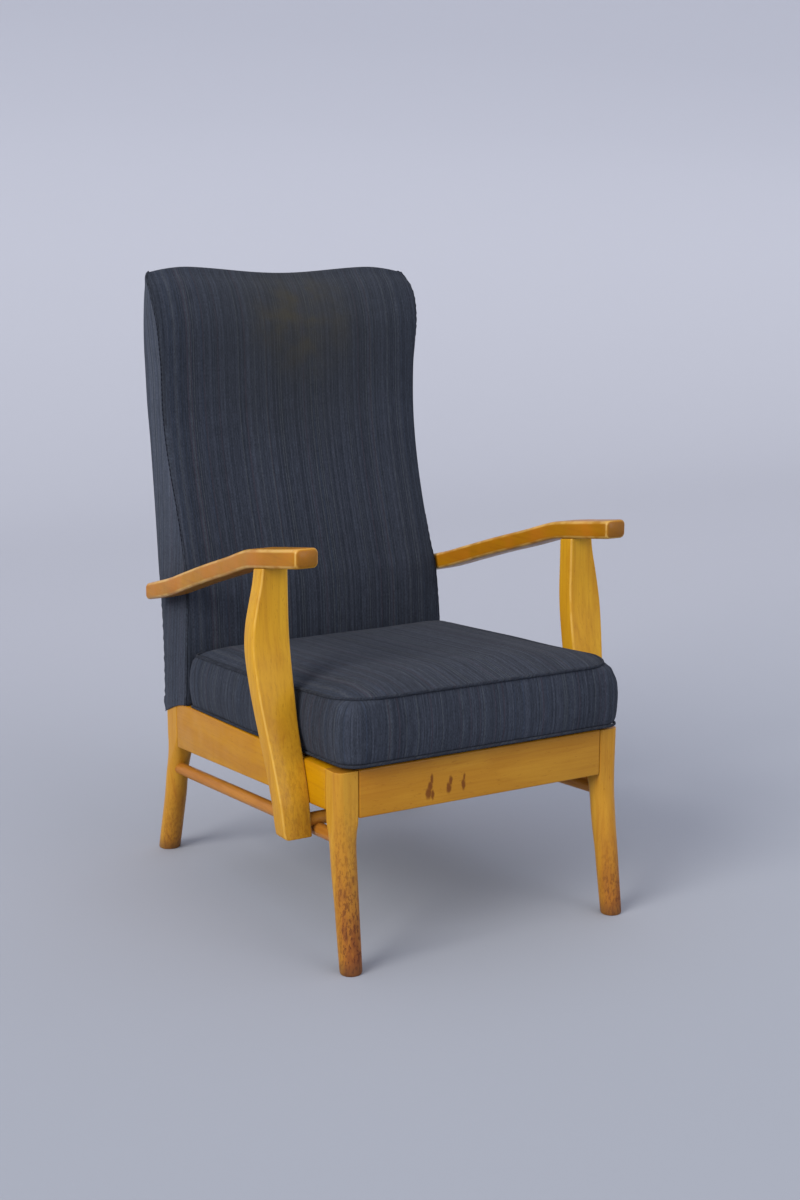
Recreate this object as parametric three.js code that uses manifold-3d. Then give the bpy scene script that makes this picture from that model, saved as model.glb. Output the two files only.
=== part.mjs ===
// Fireside chair: a varnished beech frame, a sprung seat with a loose boxed cushion, and a tight
// upholstered back. Millimetres, +Z up, the chair faces -Y. While the pieces are made, Y is counted
// from the front face of the front seat rail, and the finished group is then centred on its footprint.
import * as THREE from 'three';
import { mergeVertices } from 'three/addons/utils/BufferGeometryUtils.js';
import Module from 'manifold-3d';

const wasm = await Module();
wasm.setup();

// Seat frame
const frameHalfWidth = 255.5;
const railThickness = 22;
const railTopHeight = 304.5;
const frontRailHeight = 74;
const sideRailFrontHeight = 65;
const sideRailBackHeight = 82;
const seatDepth = 575.5;
const seatFallShare = 0.03;
const edgeRound = 3;
const fitGap = 0.3;
const looseGap = 0.6;

// Legs
const frontLegHead = 36.5;
const frontLegRake = 28.3;
const backLegDepth = 42;
const backLegRake = 60.5;
const legSplay = 2.5;

// Joints in the wood
const tenonLength = 16;
const tenonThickness = 10;
const tenonShoulder = 12;
const tenonInset = 5;

// Stretchers
const stretcherDiameter = 21;
const stretcherTenonDiameter = 13;
const stretcherInset = 15.5;
const stretcherFrontHeight = 200;
const stretcherFallShare = 0.067;
const crossStretcherLead = 2.1;
const crossStretcherRise = 10;
const crossTenonLength = 15;

// Arm posts
const postFootDrop = 22;
const postWidth = 45.5;
const postDepth = 33;
const postBulge = 17.5;
const postRake = 65;
const postSetback = 140;
const postLean = 3.7;
const postLeanStart = 0.28;
const postEdgeRound = 4;

// Armrests
const armSetback = 45.5;
const armBackLap = 92;
const armFrontHeight = 614;
const armDrop = 138.8;
const armThickness = 31;
const armStandOff = 1.5;
const armBackGap = 1;
const armFrontWidth = 38;
const armSwell = 10;
const armEdgeRound = 6;

// Corner blocks
const blockReach = 50;
const blockHeight = 40;
const blockDrop = 10;

// Seat springs
const springCount = 8;
const springDiameter = 12;
const springWire = 2.4;
const firstSpringSetback = 118;
const lastSpringLead = 19.5;
const springDrop = 8;
const hookReach = 13;
const hookDrop = 9;
const stripSheet = 2;
const stripShelf = 14;
const stripSkirt = 20;
const stripHole = 6;
const stripMargin = 14;

// Back upholstery
const backSeatLap = 46;
const backSideInset = 1;
const backHeight = 733;
const backReach = 171;
const backCrown = 9;
const backTopDip = 11;
const backCorner = 6;
const backShoulderDrop = 10;
const backRearTaper = 6;
const sidePanelSwell = 1.5;
const skirtDrop = 27;
const skirtLength = 82;
const skirtOverlap = 6;
const coverCloth = 1.8;
const outsideCoverGap = 1.2;
const stuffingGap = 0.9;

// Back frame
const stileThickness = 22;
const stileRearInset = 5;
const backRailThickness = 20;
const backRailSetIn = 2;
const backTopRailHeight = 58;
const backMiddleRailHeight = 50;
const backBottomRailHeight = 46;
const stileTongueLength = 42;
const stileTongueDepth = 28;
const webbingWidth = 50;
const webbingSheet = 2;
const webbingInset = 5;

// Seat cushion
const cushionSideGap = 5.5;
const cushionBulge = 3.4;
const cushionOverhang = 22;
const cushionCorner = 30;
const cushionTaper = 4;
const cushionFrontThickness = 97;
const cushionBackThickness = 87;
const cushionCrown = 15;
const cushionUnderSwell = 3;
const seamInset = 8.5;
const cushionLift = 5;
const cushionFrontLift = 5;
const cushionCloth = 2;
const coreSlack = 0.5;
const pipingDiameter = 5;
const zipLength = 360;
const zipWidth = 4;

// Bolts
const boltShank = 6;
const boltHead = 13;
const boltHeadThickness = 4;
const boltHeadLap = 1.5;

// Facets
const cornerSteps = 3;
const legCornerSteps = 4;
const roundSides = 14;
const boltSides = 10;
const hookSteps = 6;
const hookSides = 5;
const cushionSideSteps = 4;
const punchSides = 8;
const cutOverrun = 4;
const openOverrun = 12;
const roundLimitShare = 0.96;

// Places that follow from the driving sizes
const backSetback = seatDepth - backSeatLap;
const backHalfWidth = frameHalfWidth - backSideInset;
const armInnerHalf = frameHalfWidth + armStandOff;
const armLength = backSetback + armBackLap - armSetback;
const cushionHalfWidth = frameHalfWidth - cushionSideGap;
const crossStretcherHeight = stretcherFrontHeight + crossStretcherRise;
const postFootHeight = crossStretcherHeight - postFootDrop;

// Finishes
const finishes = {
  beech: { color: 0xc18f2c, roughness: 0.38, metalness: 0 },
  armBeech: { color: 0xbd7d2a, roughness: 0.34, metalness: 0 },
  hiddenBeech: { color: 0xb98d50, roughness: 0.7, metalness: 0 },
  cloth: { color: 0x343a46, roughness: 0.95, metalness: 0 },
  piping: { color: 0x2c313c, roughness: 0.95, metalness: 0 },
  stuffing: { color: 0xc9bfa4, roughness: 1, metalness: 0 },
  webbing: { color: 0x9b7d4f, roughness: 0.95, metalness: 0 },
  steel: { color: 0x8d9094, roughness: 0.45, metalness: 0.8 },
  springSleeve: { color: 0x4a4d52, roughness: 0.75, metalness: 0 },
};
const sides = [['left', -1], ['right', 1]];
const chair = new THREE.Group();

// A smooth value from a table whose first column rises from 0 to 1.
function tableAt(table, share, column) {
  const last = table.length - 1;
  const at = Math.min(Math.max(share, table[0][0]), table[last][0]);
  let row = 0;
  while (row < last - 1 && at > table[row + 1][0]) row += 1;
  const span = table[row + 1][0] - table[row][0];
  const slopeAt = (index) => {
    const before = table[Math.max(index - 1, 0)];
    const after = table[Math.min(index + 1, last)];
    return (after[column] - before[column]) / (after[0] - before[0]);
  };
  const t = (at - table[row][0]) / span;
  const from = table[row][column];
  const to = table[row + 1][column];
  const bend = t * (1 - t) * span;
  const ease = t * t * (3 - 2 * t);
  return from + (to - from) * ease + bend * ((1 - t) * slopeAt(row) - t * slopeAt(row + 1));
}

// A solid as manifold-3d holds it.
function toSolid(geometry) {
  const bare = geometry.clone();
  bare.deleteAttribute('normal');
  bare.deleteAttribute('uv');
  const merged = mergeVertices(bare);
  return new wasm.Manifold(new wasm.Mesh({
    numProp: 3,
    vertProperties: new Float32Array(merged.attributes.position.array),
    triVerts: new Uint32Array(merged.index.array),
  }));
}

// The geometry of a solid that was cut or joined.
function toGeometry(solid) {
  const mesh = solid.getMesh();
  const geometry = new THREE.BufferGeometry();
  geometry.setAttribute('position', new THREE.BufferAttribute(new Float32Array(mesh.vertProperties), 3));
  geometry.setIndex(new THREE.BufferAttribute(new Uint32Array(mesh.triVerts), 1));
  return geometry;
}

// Turns a closed mesh so that its faces point out.
function facingOut(geometry) {
  const place = geometry.attributes.position;
  const index = geometry.index.array;
  const [a, b, c] = [new THREE.Vector3(), new THREE.Vector3(), new THREE.Vector3()];
  let volume = 0;
  for (let i = 0; i < index.length; i += 3) {
    a.fromBufferAttribute(place, index[i]);
    b.fromBufferAttribute(place, index[i + 1]);
    c.fromBufferAttribute(place, index[i + 2]);
    volume += a.dot(b.cross(c));
  }
  if (volume < 0) {
    for (let i = 0; i < index.length; i += 3) {
      [index[i], index[i + 1]] = [index[i + 1], index[i]];
    }
  }
  return geometry;
}

// The triangles that close a ring, each with its corners in the ring's own order.
function capFaces(ring) {
  const normal = new THREE.Vector3();
  ring.forEach((point, i) => {
    normal.add(new THREE.Vector3().crossVectors(point, ring[(i + 1) % ring.length]));
  });
  const size = [Math.abs(normal.x), Math.abs(normal.y), Math.abs(normal.z)];
  const widest = size.indexOf(Math.max(...size));
  const flat = ring.map((p) => new THREE.Vector2(...p.toArray().filter((_, axis) => axis !== widest)));
  return THREE.ShapeUtils.triangulateShape(flat, []).map((face) => [...face].sort((p, q) => p - q));
}

// A skin over rings of points, closed at both ends, or joined last ring to first.
function loft(rings, joined = false, closeRing = capFaces) {
  const count = rings[0].length;
  const places = rings.flat().flatMap((p) => [p.x, p.y, p.z]);
  const index = [];
  const bands = joined ? rings.length : rings.length - 1;
  for (let i = 0; i < bands; i += 1) {
    for (let j = 0; j < count; j += 1) {
      const a = i * count + j;
      const b = i * count + ((j + 1) % count);
      const c = ((i + 1) % rings.length) * count + j;
      const d = ((i + 1) % rings.length) * count + ((j + 1) % count);
      index.push(a, b, d, a, d, c);
    }
  }
  if (!joined) {
    const top = (rings.length - 1) * count;
    closeRing(rings[0]).forEach(([p, q, r]) => index.push(p, r, q));
    closeRing(rings[rings.length - 1]).forEach(([p, q, r]) => index.push(top + p, top + q, top + r));
  }
  const geometry = new THREE.BufferGeometry();
  geometry.setAttribute('position', new THREE.Float32BufferAttribute(places, 3));
  geometry.setIndex(index);
  return facingOut(geometry);
}

// The outline of a rectangle with rounded corners, about its own middle. One radius serves all the
// corners, or a list gives each its own, anticlockwise from the right rear.
function roundedRectangle(width, height, radius, steps = cornerSteps) {
  const points = [];
  [[1, 1], [-1, 1], [-1, -1], [1, -1]].forEach(([u, v], corner) => {
    const wanted = Array.isArray(radius) ? radius[corner] : radius;
    const round = Math.min(wanted, roundLimitShare * Math.min(width, height) / 2);
    for (let k = 0; k <= steps; k += 1) {
      const angle = (corner + k / steps) * Math.PI / 2;
      points.push([
        u * (width / 2 - round) + round * Math.cos(angle),
        v * (height / 2 - round) + round * Math.sin(angle),
      ]);
    }
  });
  return points;
}

// A section that lies flat at one height.
function levelRing(x, y, z, width, depth, radius, steps) {
  return roundedRectangle(width, depth, radius, steps)
    .map(([u, v]) => new THREE.Vector3(x + u, y + v, z));
}

// A section that stands upright, facing the front.
function uprightRing(x, y, z, width, height, radius, steps) {
  return roundedRectangle(width, height, radius, steps)
    .map(([u, v]) => new THREE.Vector3(x + u, y, z + v));
}

// A plain block between two corners.
function block(x0, x1, y0, y1, z0, z1) {
  const geometry = new THREE.BoxGeometry(Math.abs(x1 - x0), Math.abs(y1 - y0), Math.abs(z1 - z0));
  return toSolid(geometry.translate((x0 + x1) / 2, (y0 + y1) / 2, (z0 + z1) / 2));
}

// A round rod along X.
function rodAcross(x0, x1, y, z, diameter, rodSides = roundSides) {
  const geometry = new THREE.CylinderGeometry(diameter / 2, diameter / 2, Math.abs(x1 - x0), rodSides);
  return toSolid(geometry.rotateZ(Math.PI / 2).translate((x0 + x1) / 2, y, z));
}

// A sheet or board whose side view is given, standing between two places across the chair.
function boardAcross(profile, x0, x1) {
  const ringAt = (x) => profile.map(([y, z]) => new THREE.Vector3(x, y, z));
  return toSolid(loft([ringAt(x0), ringAt(x1)]));
}

// Adds a named piece to the chair.
function addPiece(name, shape, finish) {
  const geometry = shape.isBufferGeometry ? shape : toGeometry(shape);
  const mesh = new THREE.Mesh(geometry, new THREE.MeshStandardMaterial(finishes[finish]));
  mesh.name = name;
  chair.add(mesh);
}

// Seat frame: places that several pieces share
const seatTopAt = (y) => railTopHeight - seatFallShare * y;
const sideRailInner = frameHalfWidth - railThickness;
const legInner = frameHalfWidth - frontLegHead;
const backLegMiddle = seatDepth + backLegDepth / 2;

// Legs, as rows of height, rake, width, depth, roundness, and roundness of the outer front corner
const frontLegShares = [
  [0, 1, 0.87, 0.87, 1, 1],
  [0.01, 0.99, 0.92, 0.92, 1, 1],
  [0.197, 0.703, 0.97, 0.97, 1, 1],
  [0.335, 0.497, 1, 1, 1, 1],
  [0.493, 0.221, 1.055, 1.055, 1, 1],
  [0.624, 0.06, 1.07, 1.07, 0.95, 1],
  [0.69, 0.02, 1.055, 1.055, 0.7, 0.95],
  [0.745, 0, 1, 1, 0.2, 0.8],
  [1, 0, 1, 1, 0.16, 0.68],
];
const backLegShares = [
  [0, 1, 0.99, 0.85, 1, 1],
  [0.01, 0.99, 1.03, 0.9, 1, 1],
  [0.234, 0.678, 1.041, 0.905, 1, 1],
  [0.37, 0.496, 1.041, 0.905, 1, 1],
  [0.52, 0.347, 1.041, 0.905, 1, 1],
  [0.64, 0.17, 1.03, 0.93, 0.85, 0.85],
  [0.72, 0.05, 1.01, 0.98, 0.5, 0.5],
  [0.78, 0, 1, 1, 0.2, 0.2],
  [1, 0, 1, 1, 0.16, 0.16],
];
const legKinds = {
  front: { table: frontLegShares, depth: frontLegHead, middle: frontLegHead / 2, rake: -frontLegRake },
  back: { table: backLegShares, depth: backLegDepth, middle: backLegMiddle, rake: backLegRake },
};
const legTopAt = (kind) => seatTopAt(kind.middle + kind.depth / 2);

// The middle of a leg, across and along the chair, at a height.
function legMiddleAt(kind, height) {
  const rakeShare = tableAt(kind.table, height / legTopAt(kind), 1);
  return {
    x: frameHalfWidth - frontLegHead / 2 + legSplay * rakeShare,
    y: kind.middle + kind.rake * rakeShare,
  };
}

function legSolid(kind, side, grow = 0) {
  const height = legTopAt(kind);
  const rings = kind.table.map(([heightShare, , widthShare, depthShare, roundShare, outerShare]) => {
    const z = height * heightShare;
    const middle = legMiddleAt(kind, z);
    const width = frontLegHead * widthShare + 2 * grow;
    const depth = kind.depth * depthShare + 2 * grow;
    const round = roundShare * Math.min(width, depth) / 2;
    const outer = outerShare * Math.min(width, depth) / 2;
    const radii = side > 0 ? [round, round, round, outer] : [round, round, outer, round];
    return levelRing(side * middle.x, middle.y, z, width, depth, radii, legCornerSteps);
  });
  return toSolid(loft(rings));
}

// Stretchers
const stretcherHeightAt = (y) => stretcherFrontHeight - stretcherFallShare * y;
const stretcherX = frameHalfWidth - stretcherInset;
const frontStretcherEnd = legMiddleAt(legKinds.front, stretcherHeightAt(legKinds.front.middle)).y;
const backStretcherEnd = legMiddleAt(legKinds.back, stretcherHeightAt(legKinds.back.middle)).y;

function lengthwiseRod(side, y0, y1, diameter) {
  const ringAt = (y) => uprightRing(
    side * stretcherX, y, stretcherHeightAt(y), diameter, diameter, diameter / 2, legCornerSteps,
  );
  return toSolid(loft([ringAt(y0), ringAt(y1)]));
}
const crossReach = (grow) => frameHalfWidth + fitGap + crossTenonLength + grow;
const crossSetback = () => postMiddleAt(crossStretcherHeight) - crossStretcherLead;
const crossBody = (grow) => rodAcross(
  -frameHalfWidth, frameHalfWidth, crossSetback(), crossStretcherHeight, stretcherDiameter + 2 * grow,
);
const crossTenons = (grow) => rodAcross(
  -crossReach(grow), crossReach(grow), crossSetback(), crossStretcherHeight,
  stretcherTenonDiameter + 2 * grow,
);
const sideTenon = (side, grow) => lengthwiseRod(
  side, frontStretcherEnd - grow, backStretcherEnd + grow, stretcherTenonDiameter + 2 * grow,
);

// Seat rails and the tenons that enter the legs
const sideRailBottomFront = railTopHeight - sideRailFrontHeight;
const sideRailBottomBack = seatTopAt(seatDepth) - sideRailBackHeight;
const frontRailBottom = railTopHeight - frontRailHeight;
const backRailFront = backLegMiddle - railThickness / 2;

function sideTenonBlock(side, y0, y1, grow) {
  const outer = frameHalfWidth - tenonInset + grow;
  const low = Math.max(sideRailBottomFront, sideRailBottomBack) + tenonShoulder - grow;
  const high = seatTopAt(seatDepth) - tenonShoulder + grow;
  return block(side * outer, side * (outer - tenonThickness - 2 * grow), y0, y1, low, high);
}

function railTenonBlock(side, front, low, high, grow) {
  return block(
    side * (legInner - tenonInset), side * (legInner + tenonLength + grow),
    front - grow, front + tenonThickness + grow,
    low + tenonShoulder - grow, high - tenonShoulder + grow,
  );
}
const frontTenon = (side, grow) => railTenonBlock(
  side, tenonInset, frontRailBottom, railTopHeight, grow,
);
const backTenon = (side, grow) => railTenonBlock(
  side, backLegMiddle - tenonThickness / 2, sideRailBottomBack, seatTopAt(backLegMiddle), grow,
);

function addLegs() {
  sides.forEach(([word, side]) => {
    const frontMortise = sideTenonBlock(
      side, frontLegHead - tenonLength - fitGap, frontLegHead + cutOverrun, fitGap,
    );
    const backMortise = sideTenonBlock(
      side, seatDepth - cutOverrun, seatDepth + tenonLength + fitGap, fitGap,
    );
    const bore = sideTenon(side, fitGap);
    addPiece(`front_leg_${word}`, legSolid(legKinds.front, side)
      .subtract(frontMortise).subtract(frontTenon(side, fitGap)).subtract(bore), 'beech');
    addPiece(`back_leg_${word}`, legSolid(legKinds.back, side)
      .subtract(backMortise).subtract(backTenon(side, fitGap)).subtract(bore), 'beech');
  });
}

function addSeatRails() {
  const crossRail = (front, low, high) => {
    const middle = (low + high) / 2;
    const half = legInner - fitGap;
    const ringAt = (x) => roundedRectangle(railThickness, high - low, edgeRound, cornerSteps)
      .map(([u, v]) => new THREE.Vector3(x, front + railThickness / 2 + u, middle + v));
    return toSolid(loft([ringAt(-half), ringAt(half)]));
  };
  const backTop = seatTopAt(backRailFront + railThickness);
  const front = crossRail(0, frontRailBottom, railTopHeight);
  const back = crossRail(backRailFront, sideRailBottomBack, backTop);
  addPiece('front_seat_rail', front.add(frontTenon(-1, 0)).add(frontTenon(1, 0)), 'beech');
  addPiece('back_seat_rail', back.add(backTenon(-1, 0)).add(backTenon(1, 0)), 'beech');
  sides.forEach(([word, side]) => {
    const ringAt = (y, low) => uprightRing(
      side * (frameHalfWidth - railThickness / 2), y, (seatTopAt(y) + low) / 2,
      railThickness, seatTopAt(y) - low, edgeRound,
    );
    const rail = toSolid(loft([
      ringAt(frontLegHead + fitGap, sideRailBottomFront),
      ringAt(seatDepth - fitGap, sideRailBottomBack),
    ]));
    const tenons = sideTenonBlock(side, frontLegHead - tenonLength, frontLegHead + cutOverrun, 0)
      .add(sideTenonBlock(side, seatDepth - cutOverrun, seatDepth + tenonLength, 0));
    let whole = rail.add(tenons);
    postBolts.forEach((place) => { whole = whole.subtract(postBolt(side, place, fitGap)); });
    tongueBolts.forEach((place) => { whole = whole.subtract(tongueBolt(side, place, fitGap)); });
    addPiece(`side_seat_rail_${word}`, whole, 'beech');
  });
}

function addStretchers() {
  sides.forEach(([word, side]) => {
    const body = lengthwiseRod(side, frontStretcherEnd, backStretcherEnd, stretcherDiameter)
      .subtract(legSolid(legKinds.front, side, fitGap))
      .subtract(legSolid(legKinds.back, side, fitGap));
    addPiece(`side_stretcher_${word}`, body.add(sideTenon(side, 0)).subtract(crossBody(fitGap)), 'beech');
  });
  addPiece('cross_stretcher', crossBody(0).add(crossTenons(0)), 'beech');
}

// Armrests, as rows of length, drop, thickness, draw in and outward swell
const armShares = [
  [0, 0, 0.96, 0, 0],
  [0.115, 0.061, 0.95, 0, 0.7],
  [0.192, 0.101, 0.94, 0, 1],
  [0.269, 0.155, 0.95, 0.1, 0.95],
  [0.4, 0.313, 0.95, 0.3, 0.75],
  [0.559, 0.497, 0.96, 0.5, 0.5],
  [0.722, 0.699, 0.98, 0.7, 0.25],
  [0.827, 0.829, 0.98, 0.85, 0.1],
  [0.96, 0.962, 0.95, 1, 0],
  [1, 1, 0.92, 1, 0],
];
const armMiddleAt = (y) => armFrontHeight - armDrop * tableAt(armShares, (y - armSetback) / armLength, 1);

// How the ends of the arms are rounded off, as rows of length and fullness
const armFrontEndShares = [[0, 0.55], [0.006, 0.85], [0.014, 1]];
const armRearEndShares = [[0.986, 1], [0.994, 0.88], [1, 0.62]];

function armSolid(side, grow) {
  const between = armShares.slice(1, -1).map(([share]) => [share, 1]);
  const rings = [...armFrontEndShares, ...between, ...armRearEndShares].map(([share, fullShare]) => {
    const inner = armInnerAt(share) - grow;
    const outer = armInnerAt(share) + armFrontWidth + armSwell * tableAt(armShares, share, 4) + grow;
    const fall = armEdgeRound * (1 - fullShare);
    const y = armSetback + armLength * share;
    return uprightRing(
      side * (inner + outer) / 2, y, armMiddleAt(y), outer - inner - 2 * fall,
      armThickness * tableAt(armShares, share, 2) - 2 * fall + 2 * grow, armEdgeRound,
    );
  });
  return toSolid(loft(rings));
}

// Arm posts, as rows of height, forward rake and outward bulge
const postShares = [
  [0, 1, -0.2],
  [0.008, 0.99, 0.02],
  [0.135, 0.87, 0.22],
  [0.265, 0.64, 0.36],
  [0.39, 0.4, 0.55],
  [0.5, 0.255, 0.8],
  [0.6, 0.14, 0.97],
  [0.68, 0.06, 1.04],
  [0.74, 0.02, 0.98],
  [0.8, 0, 0.8],
  [0.87, 0, 0.48],
  [0.94, 0, 0.14],
  [1, 0, -0.05],
];
const postInner = frameHalfWidth + fitGap;

function postSolid(side) {
  const top = armMiddleAt(postSetback + postDepth / 2);
  const height = top - postFootHeight;
  const rings = postShares.map(([heightShare, rakeShare, bulgeShare]) => {
    const inner = postInner + postLean * Math.max(heightShare - postLeanStart, 0);
    const outer = postInner + postWidth + postBulge * bulgeShare;
    const y = postSetback + postDepth / 2 - postRake * rakeShare;
    return levelRing(
      side * (inner + outer) / 2, y, postFootHeight + height * heightShare,
      outer - inner, postDepth, postEdgeRound,
    );
  });
  return toSolid(loft(rings));
}
const postMiddleAt = (z) => {
  const top = armMiddleAt(postSetback + postDepth / 2);
  const share = (z - postFootHeight) / (top - postFootHeight);
  return postSetback + postDepth / 2 - postRake * tableAt(postShares, share, 1);
};

// Bolts, each with a round head and a plain shank that starts inside the head
const postBoltShares = [0.25, 0.72];
const postBoltDepthShare = 0.6;
const boltSolid = (side, seat, tip, y, z, grow) => {
  const head = rodAcross(
    side * (seat - boltHeadThickness - grow), side * seat, y, z, boltHead + 2 * grow, boltSides,
  );
  const shank = rodAcross(
    side * (seat - boltHeadLap), side * (tip + grow), y, z, boltShank + 2 * grow, boltSides,
  );
  return head.add(shank);
};
const postBoltHeights = postBoltShares.map((share) => sideRailBottomFront + sideRailFrontHeight * share);
const postBolts = postBoltHeights.map((z) => ({ y: postMiddleAt(z), z }));
const postBolt = (side, place, grow) => boltSolid(
  side, sideRailInner - fitGap, frameHalfWidth + postWidth * postBoltDepthShare, place.y, place.z, grow,
);

function addArmPosts() {
  sides.forEach(([word, side]) => {
    let post = postSolid(side).subtract(armSolid(side, fitGap)).subtract(crossTenons(fitGap));
    postBolts.forEach((place, i) => {
      post = post.subtract(postBolt(side, place, fitGap));
      addPiece(`arm_post_bolt_${word}_${i + 1}`, postBolt(side, place, 0), 'steel');
    });
    addPiece(`arm_post_${word}`, post, 'beech');
  });
}

// Back envelope, as rows of height, half width, front place and rear place
const backShares = [
  [0, 1.008, 0, 0.56],
  [0.11, 0.994, 0, 0.61],
  [0.2, 0.98, 0.01, 0.68],
  [0.277, 0.967, 0.04, 0.76],
  [0.331, 0.956, 0.109, 0.82],
  [0.386, 0.951, 0.178, 0.86],
  [0.44, 0.949, 0.25, 0.89],
  [0.52, 0.952, 0.35, 0.92],
  [0.604, 0.957, 0.43, 0.95],
  [0.68, 0.963, 0.475, 0.985],
  [0.768, 0.97, 0.487, 1],
  [0.823, 0.984, 0.486, 0.975],
  [0.877, 0.998, 0.5, 0.93],
  [0.932, 1.01, 0.57, 0.875],
  [0.965, 1.008, 0.65, 0.86],
  [0.986, 1, 0.74, 0.86],
  [1, 0.985, 0.785, 0.85],
];
const backBase = seatTopAt(backSetback) + fitGap;
const backWidthAt = (share) => backHalfWidth * tableAt(backShares, share, 1);
const backFrontAt = (share) => backSetback + backReach * tableAt(backShares, share, 2);
const backRearAt = (share) => backSetback + backReach * tableAt(backShares, share, 3);
const heightOfShare = (share) => backBase + backHeight * share;
const shareOfHeight = (z) => (z - backBase) / backHeight;

// The arms draw in towards their rear ends, which pass just outside the back.
const armUnderside = armFrontHeight - armDrop - armThickness / 2;
const armInnerRear = backWidthAt(shareOfHeight(armUnderside)) + sidePanelSwell + armBackGap;
const armInnerAt = (share) => armInnerHalf - (armInnerHalf - armInnerRear) * tableAt(armShares, share, 3);

const frontColumnShares = [0.86, 0.64, 0.36, 0, -0.36, -0.64, -0.86];
const sideColumnShares = [1, 0.7, 0.35, 0];
const rearColumnShares = [-0.64, -0.36, 0, 0.36, 0.64];
const cornerLimitShare = 0.33;
const cornerCutShare = 0.3;
const crownEdgeShare = 0.5;
const earShare = 0.8;
const shoulderShare = 0.68;
const crownFade = 6;
const dipFade = 8;
const taperFade = 4;

// How far the middle of the back stands forward of its edges, and how far its top dips.
const crownAt = (heightShare, widthShare) => backCrown * (1 - widthShare ** 2)
  * (1 - heightShare ** crownFade);
const dipAt = (heightShare, widthShare) => {
  const ear = Math.cos(Math.PI * Math.min(Math.abs(widthShare) / earShare, 1));
  const shoulder = Math.max(Math.abs(widthShare) - shoulderShare, 0) / (1 - shoulderShare);
  return -(backTopDip * (1 + ear) / 2 + backShoulderDrop * shoulder ** 2) * heightShare ** dipFade;
};

// One level section of the back, drawn in by an inset and run out behind by an extension.
function backRing(heightShare, inset, extend) {
  const half = backWidthAt(heightShare) - inset;
  const front = backFrontAt(heightShare) + inset;
  const rear = backRearAt(heightShare) - inset;
  const depth = backRearAt(heightShare) - backFrontAt(heightShare);
  const corner = Math.min(backCorner, depth * cornerLimitShare);
  const swell = sidePanelSwell * (1 - heightShare ** crownFade);
  const taper = backRearTaper * heightShare ** taperFade;
  const z = backBase + inset + (backHeight - 2 * inset) * heightShare;
  const sideAt = (share) => [
    half + swell * 4 * share * (1 - share) - taper * share ** 2,
    front + corner + (rear - front - corner) * share,
  ];
  const flank = [
    ...sideColumnShares.map(sideAt),
    [half - corner * cornerCutShare, front + corner * cornerCutShare],
    [half - corner, front - crownAt(heightShare, (half - corner) / half) * crownEdgeShare],
  ];
  if (extend > 0) flank.unshift([half - taper, rear + extend]);
  const outline = [
    ...flank,
    ...frontColumnShares.map((share) => [share * half, front - crownAt(heightShare, share)]),
    ...[...flank].reverse().map(([x, y]) => [-x, y]),
    ...rearColumnShares.map((share) => [share * half, rear + extend]),
  ];
  return outline.map(([x, y]) => new THREE.Vector3(x, y, z + dipAt(heightShare, x / half)));
}

// The triangles that close a section of the back, in strips that run from front to rear.
function backCapFaces(ring) {
  const order = ring.map((_, i) => i);
  const corner = ring.length - rearColumnShares.length - 1;
  const ahead = order.slice(0, corner + 1);
  const behind = [0, ...order.slice(corner + 1).reverse(), corner];
  const faces = [];
  let i = 0;
  let j = 0;
  while (i < ahead.length - 1 || j < behind.length - 1) {
    const frontNext = j === behind.length - 1
      || (i < ahead.length - 1 && ring[ahead[i + 1]].x >= ring[behind[j + 1]].x);
    const face = [ahead[i], behind[j], frontNext ? ahead[i + 1] : behind[j + 1]];
    if (new Set(face).size === face.length) faces.push(face.sort((p, q) => p - q));
    if (frontNext) i += 1;
    else j += 1;
  }
  return faces;
}

function backEnvelope(inset, extendBelow, extendBehind) {
  const rings = backShares.map(([share]) => backRing(share, inset, extendBehind));
  if (extendBelow > 0) {
    rings.unshift(rings[0].map((p) => new THREE.Vector3(p.x, p.y, p.z - extendBelow)));
  }
  return toSolid(loft(rings, false, backCapFaces));
}

// Stiles: the shaped side members of the back frame, as rows of height and front place
const stileFrontShares = [
  [0, 0.1],
  [0.06, 0.13],
  [0.16, 0.25],
  [0.277, 0.35],
  [0.44, 0.5],
  [0.604, 0.635],
  [0.768, 0.7],
  [0.877, 0.715],
  [0.96, 0.73],
];
const stileTopShare = 0.95;
const middleRailShare = 0.4;
const railTongueShare = 0.5;
const stubTenonShare = 0.6;
const webbingShares = [0.08, 0.25, 0.42, 0.59, 0.76];
const bandStepShares = [0, 0.5, 1];
const webbingLevels = (share) => bandStepShares.map((step) => share + step * webbingWidth / backHeight);
const stileLevels = [...webbingShares.flatMap(webbingLevels), stileTopShare];
const stileInner = sideRailInner - fitGap - stileThickness;
const stileOuter = sideRailInner - fitGap;
const stileFrontAt = (share) => backSetback + backReach * tableAt(stileFrontShares, share, 1);

// The stiles reach down inside the side rails as tongues, which bolt to them.
const tongueRear = seatDepth - looseGap;
const tongueFront = tongueRear - stileTongueDepth;
const stileBase = backBase + fitGap;

function stileProfile() {
  return [
    [tongueRear, backBase - stileTongueLength],
    [tongueFront, backBase - stileTongueLength],
    [tongueFront, stileBase],
    ...stileLevels.map((share) => [stileFrontAt(share), heightOfShare(share)]),
    ...[...stileLevels].reverse()
      .map((share) => [backRearAt(share) - stileRearInset, heightOfShare(share)]),
    [backRearAt(0) - stileRearInset, stileBase],
    [tongueRear, stileBase],
  ];
}

const tongueBoltShares = [0.3, 0.72];
const tongueBoltDepthShare = 0.7;
const tongueBolts = tongueBoltShares.map((share) => ({
  y: tongueFront + stileTongueDepth / 2,
  z: backBase - stileTongueLength * share,
}));
const tongueBolt = (side, place, grow) => boltSolid(
  side, stileInner - fitGap, sideRailInner + railThickness * tongueBoltDepthShare, place.y, place.z, grow,
);

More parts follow.
